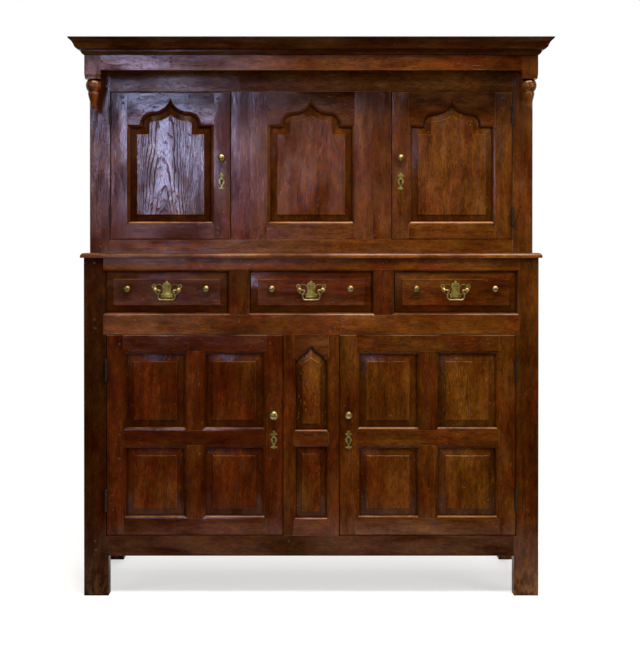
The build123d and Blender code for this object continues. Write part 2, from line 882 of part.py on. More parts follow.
def hinge_half(x, side, height, length, face, has_pin):
    """One leaf with its knuckle; side is -1 for the leaf on the left of the pin."""
    pin_y = hinge_axis(face)
    low, high = height - length / 2, height + length / 2
    near = x + side * hinge_leaf_gap / 2
    far = near + side * hinge_leaf
    leaf = box(near, far, face, face + hinge_leaf_depth, low, high)
    if has_pin:
        high = height - knuckle_clearance / 2
    else:
        low = height + knuckle_clearance / 2
    tab = box(near, far, pin_y, face, low, high)
    knuckle = extrude(Pos(x, pin_y, low) * RegularPolygon(hinge_radius, brass_sides), amount=high - low)
    reach = length * hinge_pin_share
    if has_pin:
        return leaf + tab + knuckle + extrude(Pos(x, pin_y, high) * pin(hinge_pin_radius), amount=reach)
    return leaf + tab + knuckle - extrude(Pos(x, pin_y, low) * bore(hinge_pin_radius), amount=reach)


# ---- Doors ----
def key_sketch(x, z):
    slot = rectangle(x - key_slot_width / 2, x + key_slot_width / 2, z - key_slot_length, z)
    return Pos(x, z) * RegularPolygon(key_eye_radius, brass_sides) + slot


def lock_and_bolt(name, edge, height, face):
    """A lock screwed to the stile's back; its bolt shoots to the right, behind the muntin."""
    front = face + door_thickness
    end = edge - lock_inset
    low, high = height - lock_height / 2, height + lock_height / 2
    case = box(end - lock_width, end, front, front + lock_depth, low, high)
    bolt_front = front + stop_clearance + stop_lip_thickness + bolt_set
    z0, z1 = height - bolt_height / 2, height + bolt_height / 2
    y1 = bolt_front + bolt_thickness
    gap = bolt_clearance
    channel = box(end - bolt_length - gap, end + cut_over, bolt_front - gap, y1 + gap, z0 - gap, z1 + gap)
    keep_for(name, f"{name}_door_lock", case - channel)
    keep_for(name, f"{name}_door_bolt", box(end - bolt_length, end, bolt_front, y1, z0, z1))


def keep_for(name, node, *shapes):
    """The left-hand door is the model for the right-hand one."""
    for shape in shapes:
        keep(node, shape if "left" in name else mirror(shape, about=Plane.YZ))


def escutcheon(x, z, y_base):
    """A pierced plate: trefoil head, lozenge body with the keyhole, and a spurred foot."""
    tall = escutcheon_height / 2
    wide = escutcheon_width / 2
    stem = escutcheon_stem / 2
    plate = polygon([(-wide, 0), (0, tall * 0.62), (wide, 0), (0, -tall * 0.62)])
    plate += rectangle(-stem, stem, -tall * 0.75, tall * 0.75)
    for across, up, size in ((0, 0.86, 0.36), (-0.5, 0.58, 0.36), (0.5, 0.58, 0.36), (0, 0, 0.8)):
        plate += Pos(across * wide, up * tall) * RegularPolygon(size * wide, brass_sides)
    plate += polygon([(-wide * 0.9, -tall * 0.62), (0, -tall * 0.5), (wide * 0.9, -tall * 0.62), (0, -tall)])
    return slab(Pos(x, z) * (plate - key_sketch(0, 0)), y_base - escutcheon_thickness, y_base)


def hang_door(name, members, panels, edges, heights, length, face, knob_z, lock_z):
    """Keeps one door's nodes. The left-hand door is the model for the right-hand one."""
    outer, inner = edges
    x_pin = outer - hinge_gap / 2
    key_x = inner - lock_inset - lock_key_offset
    cutters = [leaf_recess(outer, -1, z, length, face) for z in heights]
    cutters.append(slab(key_sketch(key_x, lock_z), face, face + door_thickness))
    for board in members:
        for cutter in cutters:
            board -= cutter
        keep_for(name, f"{name}_door_frame", board)
    keep_for(name, f"{name}_door_panels", *panels)
    for z in heights:
        keep_for(name, f"{name}_door_hinge_leaves", hinge_half(x_pin, 1, z, length, face, False))
        keep_for(name, "fixed_hinge_leaves", hinge_half(x_pin, -1, z, length, face, True))
    pull = knob(key_x, knob_z, knob_radii[name], face)
    keep_for(name, f"{name}_door_knob_and_escutcheon", pull, escutcheon(key_x, lock_z, face))
    lock_and_bolt(name, inner, lock_z, face)


def upper_door(name):
    members = arched_frame(
        door_arched,
        door_outer,
        door_inner,
        upper_sill + head_gap,
        upper_head - head_gap,
        recess_y,
        door_thickness,
    )
    panels = [panel(door_arched, recess_y)]
    hang_door(
        name,
        members,
        panels,
        (door_outer, door_inner),
        hinge_heights(upper_sill, upper_head, upper_hinge_inset),
        upper_hinge_length,
        recess_y,
        upper_sill + upper_knob_rise,
        upper_sill + upper_lock_rise,
    )


def lower_door(name):
    face = face_y
    outer = -lower_jamb + hinge_gap
    inner = -centre_unit_half - lock_gap
    z0, z1 = bottom_rail_top + head_gap, door_head - head_gap
    left, right = outer + lower_stile, inner - lower_stile
    middle = (left + right) / 2
    muntin = (middle - lower_muntin / 2, middle + lower_muntin / 2)
    top = (z1 - lower_top_rail - lower_upper_light, z1 - lower_top_rail)
    low = (z0 + lower_sill_rail, top[0] - lower_mid_rail)
    stiles = [(outer, left, z0, z1), (right, inner, z0, z1)]
    rails = [(left, right, z0, low[0]), (left, right, low[1], top[0]), (left, right, top[1], z1)]
    muntins = [(*muntin, *low), (*muntin, *top)]
    lights = []
    for x0, x1 in ((left, muntin[0]), (muntin[1], right)):
        for bottom, head in (low, top):
            lights.append(Opening(x0, x1, bottom, head, lower_sight, lower_bevel, None))
    rail_joints = [rail_tenons(*span, face) for span in rails]
    muntin_joints = [muntin_tenons(*span, face) for span in muntins]
    stile_holes = [tenon for pair in rail_joints for tenon in pair]
    rail_holes = [tenon for pair in muntin_joints for tenon in pair]
    members = [member([span], lights, face, door_thickness, (), stile_holes) for span in stiles]
    for span, pair in zip(rails, rail_joints):
        members.append(member([span], lights, face, door_thickness, pair, rail_holes))
    for span, pair in zip(muntins, muntin_joints):
        members.append(member([span], lights, face, door_thickness, pair))
    hang_door(
        name,
        members,
        [panel(light, face) for light in lights],
        (outer, inner),
        hinge_heights(bottom_rail_top, door_head, lower_hinge_inset),
        lower_hinge_length,
        face,
        bottom_rail_top + lower_knob_rise,
        bottom_rail_top + lower_lock_rise,
    )


# ---- Drawers ----
def drawer(name, bay):
    gap = drawer_gap
    left, right = bay.left + drawer_sight + gap, bay.right - drawer_sight - gap
    bottom, top = bay.bottom + drawer_sight + gap, bay.top - drawer_sight - gap
    face = face_y
    front = Opening(left, right, bottom, top, 0, drawer_bevel, None)
    back = face + drawer_front_back
    keep(f"{name}_drawer_front", fielded(front, face, 0, drawer_front_set, drawer_front_back))
    end = back + drawer_length
    side = drawer_side_thickness
    z0 = mid_rail_top + runner_clearance
    z1 = z0 + drawer_side_height
    floor = z0 + drawer_bottom_raise
    keep(
        f"{name}_drawer_box",
        box(left, left + side, back, end, z0, z1),
        box(right - side, right, back, end, z0, z1),
        box(left + side, right - side, end - side, end, floor + drawer_bottom_thickness, z1),
        box(left + side, right - side, back, end, floor, floor + drawer_bottom_thickness),
    )
    middle = (left + right) / 2
    height = (bottom + top) / 2
    brasses(name, middle, height, face + field_set)


def handle_plate(x, z, y_base):
    """Batwing backplate: bell body, crowned head, and pierced scrolls over the posts."""
    half_body = [(0, -25), (19, -25), (16, -12), (9, 3), (11.5, 9), (11, 14), (4, 20), (0, 31)]
    plate = polygon(half_body + [(-across, up) for across, up in reversed(half_body[1:-1])])
    for side in (-1, 1):
        plate += Pos(side * handle_post_offset, 0) * RegularPolygon(7.5, pin_sides)
        plate += Pos(side * 25, -1) * (RegularPolygon(16, brass_sides) - RegularPolygon(11.5, brass_sides))
        plate += Pos(side * 41, 13) * (RegularPolygon(8, pin_sides) - RegularPolygon(4, pin_sides))
        plate -= Pos(side * 5.5, 11) * RegularPolygon(2, pin_sides)
    return slab(Pos(x, z) * plate, y_base - handle_plate_thickness, y_base)


def handle_post(x, z, y_base, side):
    """Turned stud with a ball head; the bail's pin turns in a hole in the ball."""
    ball = post_ball_radius
    foot = y_base - handle_plate_thickness
    neck = ball * 0.55
    profile = [(ball, 0), (neck, bail_stand_off - ball * 0.9)]
    profile += [(ball, bail_stand_off - ball * 0.4), (ball, bail_stand_off + ball * 0.4)]
    profile += [(ball * 0.5, bail_stand_off + ball * 0.9)]
    stud = Pos(x, foot, z) * Rot(90, 0, 0) * turned(profile, brass_sides)
    end = x + side * (bail_pin_past + pin_clearance)
    hole = Plane(origin=(end, foot - bail_stand_off, z), x_dir=(0, 1, 0), z_dir=(-side, 0, 0))
    return stud - extrude(hole * bore(bail_pin_radius), amount=2 * ball)


def bail(x, z, y_base):
    """Swan-neck bail: pins in the posts, hooked necks, and a swelled bottom bar."""
    y_pin = y_base - handle_plate_thickness - bail_stand_off
    start = handle_post_offset - post_ball_radius - bail_gap
    turn = 90 + bail_hook_turn
    lean = math.radians(turn)
    reach = bail_hook_radius + bail_sway_radius
    sway = (bail_hook_reach + reach * math.cos(lean), reach * math.sin(lean) - bail_hook_radius)
    corner_x = sway[0] + bail_sway_radius - bail_corner_radius
    corner = (corner_x, bail_corner_radius - bail_drop)
    points = [(start, 0)]
    points += round_points(bail_hook_reach, -bail_hook_radius, bail_hook_radius, 90, turn, bail_flats)
    points += round_points(*sway, bail_sway_radius, turn - 180, 0, bail_flats)[1:]
    points += round_points(*corner, bail_corner_radius, 0, -90, bail_flats)
    points.append((0, -bail_drop))
    path = front_plane(y_pin) * Polyline(*points)
    side_on = Plane(origin=(start, y_pin, 0), x_dir=(0, 1, 0), z_dir=(-1, 0, 0))
    right = sweep(side_on * RegularPolygon(bail_radius, bail_sides), path=path, transition=Transition.RIGHT)
    pin_length = post_ball_radius + bail_gap + bail_pin_past
    right += extrude(side_on * pin(bail_pin_radius), amount=-pin_length)
    half_swell = bail_swell_length / 2
    swell = [(bail_radius, -half_swell), (bail_swell_radius, -half_swell * 0.4)]
    swell += [(bail_swell_radius, half_swell * 0.4), (bail_radius, half_swell)]
    bead = Pos(0, y_pin, -bail_drop) * Rot(0, 90, 0) * turned(swell, bail_sides)
    return Pos(x, 0, z) * (right + mirror(right, about=Plane.YZ) + bead)


def brasses(name, x, z, y_base):
    post_z = z + handle_post_rise
    plate = handle_plate(x, post_z, y_base)
    keep(f"{name}_drawer_brasses", plate)
    for side in (-1, 1):
        post = handle_post(x + side * handle_post_offset, post_z, y_base, side)
        pull = knob(x + side * drawer_knob_offset, z + drawer_knob_rise, drawer_knob_radius, y_base)
        keep(f"{name}_drawer_brasses", post, pull)
    keep(f"{name}_drawer_bail", bail(x, post_z, y_base))


# ---- Making and writing every node ----
lower_front_frame()
lower_sides_and_back()
floor_boards()
drawer_runners()
waist_boards()
upper_front_frame()
upper_centre()
upper_sides_and_back()
frieze()
corner_pendants()
cornice()
roof_boards()
for door_name in ("upper_left", "upper_right"):
    upper_door(door_name)
for door_name in ("lower_left", "lower_right"):
    lower_door(door_name)
for drawer_name, bay in (("left", left_bay), ("centre", centre_bay), ("right", right_bay)):
    drawer(drawer_name, bay)

os.makedirs("parts", exist_ok=True)
for node, solids in nodes.items():
    export_step(Compound(children=solids), f"parts/{node}.step")
print(len(nodes), "nodes,", sum(len(solids) for solids in nodes.values()), "solids")
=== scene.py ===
import json
import math
import random
import bpy
import bmesh
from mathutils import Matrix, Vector

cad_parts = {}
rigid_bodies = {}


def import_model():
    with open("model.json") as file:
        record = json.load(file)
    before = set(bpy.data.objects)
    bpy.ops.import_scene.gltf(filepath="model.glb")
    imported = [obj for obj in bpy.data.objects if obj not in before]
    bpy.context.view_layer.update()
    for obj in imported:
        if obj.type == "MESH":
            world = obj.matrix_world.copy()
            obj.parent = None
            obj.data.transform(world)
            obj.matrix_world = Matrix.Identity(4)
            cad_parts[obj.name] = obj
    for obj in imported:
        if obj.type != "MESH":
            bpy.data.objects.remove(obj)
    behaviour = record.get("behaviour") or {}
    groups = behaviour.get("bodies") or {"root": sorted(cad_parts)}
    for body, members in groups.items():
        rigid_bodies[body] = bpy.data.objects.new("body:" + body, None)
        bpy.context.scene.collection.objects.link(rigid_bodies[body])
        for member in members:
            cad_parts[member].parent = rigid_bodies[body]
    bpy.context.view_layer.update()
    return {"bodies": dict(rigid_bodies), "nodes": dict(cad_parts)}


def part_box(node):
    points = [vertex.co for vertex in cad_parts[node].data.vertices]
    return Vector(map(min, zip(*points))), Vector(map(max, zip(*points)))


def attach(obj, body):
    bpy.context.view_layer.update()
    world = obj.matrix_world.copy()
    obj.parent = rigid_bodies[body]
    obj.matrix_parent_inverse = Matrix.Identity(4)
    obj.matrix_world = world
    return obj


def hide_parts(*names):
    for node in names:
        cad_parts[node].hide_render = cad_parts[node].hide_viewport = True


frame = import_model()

# Shapes are drawn in millimetres and made in metres: X right, Y back, Z up.
scene = bpy.context.scene
mm = 0.001
hair = 0.01  # two edges nearer than this are one
dice = random.Random(7)


def linear(hexColour):
    parts = [int(hexColour[i:i + 2], 16) / 255 for i in (1, 3, 5)]
    return (*[c / 12.92 if c <= 0.04045 else ((c + 0.055) / 1.055) ** 2.4 for c in parts], 1)


def connect(tree, node, values):
    # each value is plain, or a socket, or a node whose first socket is meant
    for socket, value in values.items():
        if isinstance(value, bpy.types.Node):
            value = value.outputs[0]
        if isinstance(value, bpy.types.NodeSocket):
            tree.links.new(value, node.inputs[socket])
        else:
            node.inputs[socket].default_value = value


def addNode(tree, kind, values=None, **settings):
    node = tree.nodes.new(kind if "Node" in kind else "ShaderNode" + kind)
    for name, value in settings.items():
        setattr(node, name, value)
    connect(tree, node, values or {})
    return node


def newMaterial(name):
    material = bpy.data.materials.new(name)
    material.use_nodes = True
    tree = material.node_tree
    tree.nodes.clear()
    shader = addNode(tree, "BsdfPrincipled")
    addNode(tree, "OutputMaterial", {"Surface": shader})
    return material, tree, shader


studio = {
    "cameraPlace": (0.0, -4.6065, 1.158), "tiltDown": 0.35, "shift": (0.01375, -0.1203),
    "focalPixels": 1340.1, "frameWidth": 640, "sensor": 36,
    "roomFront": 0.04, "roomBehind": 0.45,  # what the front of the polish mirrors, and its back
    "floorColour": "#e9e8e6", "floorGlow": 0.56, "floorMirrored": 0.3, "floorReach": (1.75, 1.35), "floorSides": 96,
    "floorFade": (0.60, 0.97),  # shares of its reach between which the floor runs out into white
}
plainWhite = linear("#ffffff")
cameraData = bpy.data.cameras.new("camera")
camera = bpy.data.objects.new("camera", cameraData)
scene.collection.objects.link(camera)
camera.location = studio["cameraPlace"]
camera.rotation_euler = (math.radians(90 - studio["tiltDown"]), 0, 0)
cameraData.sensor_fit = "HORIZONTAL"
cameraData.sensor_width = studio["sensor"]
cameraData.lens = studio["sensor"] * studio["focalPixels"] / studio["frameWidth"]
cameraData.shift_x, cameraData.shift_y = studio["shift"]
scene.camera = camera
scene.view_settings.view_transform = "Standard"

# Each lamp has its place, aim, size, power and colour, and whether it is mirrored and whether it
# lights. One that doesn't light is only mirrored, as a bright window is in polish.
lamps = {
    "overhead": ((0.4, -1.5, 3.5), (0, -0.15, 0.9), (3.2, 1.0), 136, "#fff4ea", True, True),
    "leftSide": ((-3.3, -2.6, 1.9), (0, 0, 0.9), (1.2, 2.0), 17, "#f4f8ff", True, True),
    "rightSide": ((3.3, -2.6, 1.7), (0, 0, 0.9), (1.2, 2.0), 34, "#fff6ea", True, True),
    "frontFill": ((0.6, -6.5, 2.2), (0, 0, 1.0), (3.0, 3.0), 56, "#fffaf4", False, True),
    "backFill": ((0.0, 4.5, 2.4), (0, 0, 0.9), (3.0, 2.0), 90, "#ffffff", False, True),
    "window": ((-1.00, -4.7, 1.90), (-0.45, -0.15, 1.5), (0.66, 1.0), 50, "#bccbff", True, False),
}
for name, (place, aim, size, power, colour, shines, lights) in lamps.items():
    light = bpy.data.lights.new(name, "AREA")
    light.shape = "RECTANGLE"
    light.size, light.size_y = size
    light.energy = power
    light.color = linear(colour)[:3]
    lamp = bpy.data.objects.new(name, light)
    scene.collection.objects.link(lamp)
    lamp.location = place
    lamp.rotation_euler = (Vector(aim) - Vector(place)).to_track_quat("-Z", "Y").to_euler()
    lamp.visible_glossy, lamp.visible_diffuse, lamp.visible_camera = shines, lights, False

# A white wall stands behind and a dim room in front; the camera sees white all round.
world = bpy.data.worlds.new("studio")
scene.world = world
world.use_nodes = True
tree = world.node_tree
tree.nodes.clear()
direction = addNode(tree, "SeparateXYZ", {0: addNode(tree, "TexCoord").outputs["Generated"]}).outputs["Y"]
behind = addNode(tree, "MapRange", {"Value": direction, "From Min": -0.1, "From Max": 0.6})
rays = addNode(tree, "LightPath").outputs
shining = addNode(tree, "Math", {0: rays["Is Glossy Ray"], 1: behind}, operation="MULTIPLY")
seen = rays["Is Camera Ray"]
for other in (rays["Is Transmission Ray"], shining):
    seen = addNode(tree, "Math", {0: seen, 1: other}, operation="MAXIMUM")
level = addNode(tree, "MapRange", {"Value": behind, "To Min": studio["roomFront"], "To Max": studio["roomBehind"]})
room = addNode(tree, "Background", {"Color": plainWhite, "Strength": level})
white = addNode(tree, "Background", {"Color": plainWhite, "Strength": 1.0})
either = addNode(tree, "MixShader", {0: seen, 1: room, 2: white})
addNode(tree, "OutputWorld", {"Surface": either})

floorMesh = bpy.data.meshes.new("floor")
sides = studio["floorSides"]
turns = [math.tau * i / sides for i in range(sides)]
reachX, reachY = studio["floorReach"]
floorMesh.from_pydata([(reachX * math.cos(t), reachY * math.sin(t), 0) for t in turns], [], [tuple(range(sides))])
floor = bpy.data.objects.new("floor", floorMesh)
scene.collection.objects.link(floor)
# Matt white paper: no sheen, only the shadow, running out into plain white.
paper, tree, shader = newMaterial("white paper")
connect(tree, shader, {"Base Color": linear(studio["floorColour"]), "Roughness": 0.95,
                       "Specular IOR Level": 0.05, "Emission Color": plainWhite})
rays = addNode(tree, "LightPath").outputs
away = addNode(tree, "TexCoord").outputs["Object"]
away = addNode(tree, "VectorMath", {0: away, 1: (1 / reachX, 1 / reachY, 0)}, operation="MULTIPLY")
away = addNode(tree, "VectorMath", {0: away}, operation="LENGTH").outputs["Value"]
nearer, farther = studio["floorFade"]
fade = addNode(tree, "MapRange", {"Value": away, "From Min": nearer, "From Max": farther}, interpolation_type="SMOOTHSTEP")
seen = addNode(tree, "Math", {0: rays["Is Camera Ray"], 1: rays["Is Transmission Ray"]}, operation="MAXIMUM")
glow = rays["Is Glossy Ray"]
for other, way in ((studio["floorMirrored"], "MULTIPLY"), (seen, "MAXIMUM"), (studio["floorGlow"], "MULTIPLY")):
    glow = addNode(tree, "Math", {0: glow, 1: other}, operation=way)
fade = addNode(tree, "Math", {0: fade, 1: seen}, operation="MULTIPLY")
plain = addNode(tree, "Emission", {"Color": plainWhite, "Strength": 1.0})
either = addNode(tree, "MixShader", {0: fade, 1: shader, 2: plain})
connect(tree, shader, {"Emission Strength": glow})
connect(tree, next(n for n in tree.nodes if n.type == "OUTPUT_MATERIAL"), {"Surface": either})
floorMesh.materials.append(paper)
print("studio is set")


def oakMaterial(name, finish):
    material, tree, shader = newMaterial(name)
    place = addNode(tree, "Attribute", attribute_name="grainPlace").outputs["Vector"]
    look = addNode(tree, "Attribute", attribute_name="boardLook").outputs["Vector"]
    tone, warmth, fleck = addNode(tree, "SeparateXYZ", {0: look}).outputs
    height = addNode(tree, "SeparateXYZ", {0: addNode(tree, "TexCoord").outputs["Object"]}).outputs["Z"]
    hollow = addNode(tree, "AmbientOcclusion", {"Distance": finish["waxReach"] * mm}, samples=4).outputs["AO"]
    # the grain wanders sideways along each board
    wander = finish["wander"] * mm
    sway = addNode(tree, "VectorMath", {0: place, 1: (3.0, 8.0, 8.0)}, operation="MULTIPLY")
    sway = addNode(tree, "TexNoise", {"Vector": sway, "Scale": 1.0, "Detail": 2.0}).outputs["Color"]
    sway = addNode(tree, "VectorMath", {0: sway, 1: (0.0, wander, wander)}, operation="MULTIPLY")
    grain = addNode(tree, "VectorMath", {0: place, 1: sway}, operation="ADD")
    marks = {"tone": tone, "fleck": fleck, "height": height, "hollow": hollow}
    # arris carries rubbed edges together with painted highlights; the second attribute carries painted shade on slopes
    # and door rims, and dust in dry joints
    for title in ("arris", "shaded"):
        marks[title] = addNode(tree, "Attribute", attribute_name=title).outputs["Fac"]
    for title, (along, across, detail) in finish["marks"].items():
        source = place if title in ("patches", "clouds", "grime", "hollows", "scuffs", "dents") else grain
        spread = (1000 / along, 1000 / across, 1000 / across)
        spread = addNode(tree, "VectorMath", {0: source, 1: spread}, operation="MULTIPLY")
        marks[title] = addNode(tree, "TexNoise", {"Vector": spread, "Scale": 1.0, "Detail": detail, "Roughness": 0.55})

    # of the few strong marks only the top of each noise shows
    ranges = {title: (title, low, high, 0.0, 1.0) for title, (low, high) in finish["shows"].items()}
    ranges |= {  # what it is read from, between which levels, and its strength at each
        "cloud": ("clouds", 0.35, 0.65, -0.4, 0.4),
        # dark old wax, or dust on dry oak, lies in hollows and corners, and the same darkening paints shade there and
        # in the gaps round doors
        "wax": ("hollow", 0.35, 0.8, finish["waxDepth"], 0.0),
        # the pale rub on arrises is real wear, and also a painted highlight on the upward faces that makePiece marks
        "rub": ("clouds", 0.36, 0.58, 0.0, finish["rub"]),
        # the lowest inches of the feet are paler, greyer and duller, in patches
        "kicked": ("height", 0.01, 0.12, 0.85, 0.0),
        "spots": ("grime", 0.46, 0.60, 0.0, 1.0),
        # the polish shines in patches, and least on boards that cloths seldom reached
        "polish": ("patches", 0.38, 0.60, 0.30 * finish["gloss"], 1.25 * finish["gloss"]),
        "tended": ("tone", 0.5, 1.0, 0.35, 1.0),
        "waxed": ("shaded", 0.0, 0.15, 1.0, 0.4),
    }
    for title, (source, low, high, least, most) in ranges.items():
        marks[title] = addNode(tree, "MapRange", {
            "Value": marks[source], "From Min": low, "From Max": high, "To Min": least, "To Max": most})

    if finish["figure"]:  # nested arches of summer growth on a plain-sawn board
        length, width = finish["arch"]
        parts = addNode(tree, "SeparateXYZ", {0: grain}).outputs
        across = addNode(tree, "Math", {0: parts["Y"], 1: width}, operation="DIVIDE")
        across = addNode(tree, "Math", {0: across, 1: across}, operation="MULTIPLY")
        across = addNode(tree, "Math", {0: marks["patches"], 1: finish["archSway"], 2: across}, operation="MULTIPLY_ADD")
        phase = addNode(tree, "Math", {0: parts["X"], 1: 1 / length, 2: across}, operation="MULTIPLY_ADD")
        phase = addNode(tree, "Math", {0: phase, 1: math.tau}, operation="MULTIPLY")
        wave = addNode(tree, "Math", {0: phase}, operation="SINE")
        arches = addNode(tree, "MapRange", {"Value": wave, "From Min": 0.62, "From Max": 1.0, "To Max": finish["figure"]})
        broken = addNode(tree, "MapRange", {"Value": marks["rings"], "From Min": 0.38, "From Max": 0.56})
        arches = addNode(tree, "Math", {0: arches, 1: broken}, operation="MULTIPLY")
        marks["shakes"] = addNode(tree, "Math", {0: marks["shakes"], 1: arches}, operation="MAXIMUM")

    pairs = (("rub", "arris"), ("rays", "fleck"), ("kicked", "spots"), ("polish", "tended"), ("polish", "waxed"))
    for title, other in pairs:
        marks[title] = addNode(tree, "Math", {0: marks[title], 1: marks[other]}, operation="MULTIPLY")
    # relief is in metres: planed hollows and raised grain, then open pores, splits and dents
    relief = {title: depth * mm for title, depth in finish["relief"].items()}
    sums = (("body", 0.0, finish["body"]), ("rough", finish["rough"], finish["roughens"]), ("rise", 0.0, relief))
    for title, total, weights in sums:
        for mark, weight in weights.items():
            total = addNode(tree, "Math", {0: marks[mark], 1: weight, 2: total}, operation="MULTIPLY_ADD")
        marks[title] = total

    body = addNode(tree, "MapRange", {"Value": marks["body"], "From Min": 0.60, "From Max": 1.0})
    ramps = []
    for tints in (finish["red"], finish["olive"]):
        ramps.append(addNode(tree, "ValToRGB", {"Fac": body}))
        stops = ramps[-1].color_ramp.elements
        stops[0].color, stops[1].color = linear(tints[0]), linear(tints[2])
        stops.new(0.5).color = linear(tints[1])
    # red and olive polish lie in clouds, more of one or the other on each board
    cloud = addNode(tree, "Math", {0: marks["cloud"], 1: warmth}, operation="ADD", use_clamp=True)
    colour = addNode(tree, "Mix", {0: cloud, 6: ramps[0], 7: ramps[1]}, data_type="RGBA").outputs[2]
    for title, (tint, depth) in finish["layers"].items():
        share = addNode(tree, "Math", {0: marks[title], 1: depth}, operation="MULTIPLY")
        colour = addNode(tree, "Mix", {0: share, 6: colour, 7: linear(tint)}, data_type="RGBA").outputs[2]
    bright = addNode(tree, "CombineColor", {0: tone, 1: tone, 2: tone})
    colour = addNode(tree, "Mix", {0: 1.0, 6: colour, 7: bright}, data_type="RGBA", blend_type="MULTIPLY").outputs[2]
    bump = addNode(tree, "Bump", {"Height": marks["rise"], "Distance": 1.0, "Strength": 1.0})
    connect(tree, shader, {"Base Color": colour, "Roughness": marks["rough"],
                           "Specular IOR Level": marks["polish"], "Normal": bump})
    return material


# Sizes of each mark are millimetres along and across the grain, and its detail.
oakMarks = {
    "rings": (300, 15, 3.0),     # bands of growth
    "fine": (46, 2.7, 3.0),      # early-wood lines, drawn a little coarse so that they show
    "pores": (14, 1.6, 1.0),     # open pores, also drawn coarse
    "clouds": (150, 110, 3.0),   # polish worn and built up by turns
    "patches": (210, 60, 3.0),
    "grime": (34, 16, 4.0),      # old wax, thick and thin
    "rays": (22, 4.5, 2.0),      # medullary rays where the board is quartered
    "shakes": (240, 5, 3.0),     # splits along the grain
    "scuffs": (11, 8, 4.0),
    "dents": (16, 13, 1.0),
    "hollows": (150, 48, 2.0),
}
# Waxed oak: two centuries of polish over open grain, so deep red and olive browns, wet-looking highlights broken up by
# hand-planed hollows, dark old wax with painted shade in corners and gaps, painted shade on sideways and downward
# slopes, and rubbed edges with painted highlights on the upward ones.
waxedFinish = {
    "marks": oakMarks,
    "shows": {"pores": (0.55, 0.67), "rays": (0.62, 0.72), "shakes": (0.655, 0.70), "scuffs": (0.66, 0.76), "dents": (0.70, 0.78)},
    "red": ("#2c0c01", "#4a1b02", "#682b05"), "olive": ("#341b05", "#563006", "#744510"),
    "body": {"patches": 0.62, "fine": 0.28, "rings": 0.28, "grime": 0.42},
    # layers: painted shade on slopes and door rims (with dust in dry joints), rays, pores, splits, scuffs, paler feet,
    # dark wax and dust with painted shade in hollows, and a pale rub that is also a painted highlight
    "layers": {"shaded": ("#1c0a02", 0.45), "rays": ("#9a6a2c", 0.5), "pores": ("#120501", 0.65),
               "shakes": ("#120501", 0.8), "scuffs": ("#a06a38", 0.45), "kicked": ("#7a5636", 1.0),
               "wax": ("#060200", 1.0), "rub": ("#a06a38", 1.0)},
    "waxReach": 12, "waxDepth": 0.95, "rub": 0.6, "gloss": 0.30, "wander": 46, "figure": 0,
    "rough": -0.01,  # before the marks add to it
    "roughens": {"clouds": 0.22, "fine": 0.10, "wax": 0.2, "shakes": 0.25, "scuffs": 0.15, "kicked": 0.5},
    "relief": {"hollows": 0.5, "rings": 0.13, "fine": 0.06, "grime": 0.22, "pores": -0.07, "shakes": -0.3, "dents": -0.45},
}
waxedOak = oakMaterial("waxed oak", waxedFinish)
# The plain-sawn board has the same polish over bolder growth, split open along its arches.
figuredOak = oakMaterial("plain-sawn waxed oak", {
    **waxedFinish, "figure": 0.9, "arch": (0.125, 0.030), "archSway": 3.4, "rough": -0.04, "gloss": 0.44,
    "shows": {**waxedFinish["shows"], "shakes": (0.69, 0.73)},
    "relief": {"hollows": 0.9, "rings": 0.11, "fine": 0.06, "grime": 0.42, "pores": -0.05, "shakes": -0.5, "dents": -0.5}})
# Dry oak: inside and back boards that were never polished, so grey brown, dusty and dull.
dryOak = oakMaterial("dry oak", {
    **waxedFinish, "red": ("#3a2412", "#5c3f22", "#7d5c39"), "olive": ("#43301b", "#6a4f31", "#8c6f4a"),
    "layers": {**waxedFinish["layers"], "rays": ("#9c8058", 0.5), "pores": ("#20140a", 0.6), "shakes": ("#20140a", 0.8),
               "scuffs": ("#9a7b53", 0.45), "kicked": ("#8a7456", 1.0), "wax": ("#1c1209", 1.0), "rub": ("#9a7b53", 1.0)},
    "waxReach": 18, "waxDepth": 0.6, "rub": 0.4, "rough": 0.63, "gloss": 0.2,
    "relief": {"hollows": 0.5, "rings": 0.3, "fine": 0.14, "grime": 0.05, "pores": -0.12, "shakes": -0.5, "dents": -0.1}})
slotOf = {waxedOak: "waxed_oak", figuredOak: "waxed_oak", dryOak: "dry_oak"}


def metalMaterial(name, finish):
    material, tree, shader = newMaterial(name)
    place = addNode(tree, "TexCoord").outputs["Object"]
    spotScale, gritScale = 1000 / finish["spotSize"], 1000 / finish["gritSize"]
    spots = addNode(tree, "TexNoise", {"Vector": place, "Scale": spotScale, "Detail": 4.0, "Roughness": 0.6})
    grit = addNode(tree, "TexNoise", {"Vector": place, "Scale": gritScale, "Detail": 2.0})
    hollow = addNode(tree, "AmbientOcclusion", {"Distance": 0.005}, samples=4).outputs["AO"]
    dirt = addNode(tree, "MapRange", {"Value": hollow, "From Min": 0.3, "From Max": 0.9, "To Min": 0.9, "To Max": 0.0})
    ramp = addNode(tree, "ValToRGB", {"Fac": spots})
    stops = ramp.color_ramp.elements
    stops[0].position, stops[0].color = 0.36, linear(finish["dark"])
    stops[1].position, stops[1].color = 0.66, linear(finish["light"])
    colour = addNode(tree, "Mix", {0: dirt, 6: ramp, 7: linear(finish["dirt"])}, data_type="RGBA").outputs[2]
    smoothest, roughest = finish["rough"]
    rough = addNode(tree, "MapRange", {
        "Value": spots, "From Min": 0.3, "From Max": 0.7, "To Min": roughest, "To Max": smoothest})
    height = addNode(tree, "Math", {0: grit, 1: finish["pits"] * mm}, operation="MULTIPLY")
    bump = addNode(tree, "Bump", {"Height": height, "Distance": 1.0, "Strength": 1.0})
    connect(tree, shader, {"Base Color": colour, "Roughness": rough, "Metallic": finish["metal"], "Normal": bump})
    return material


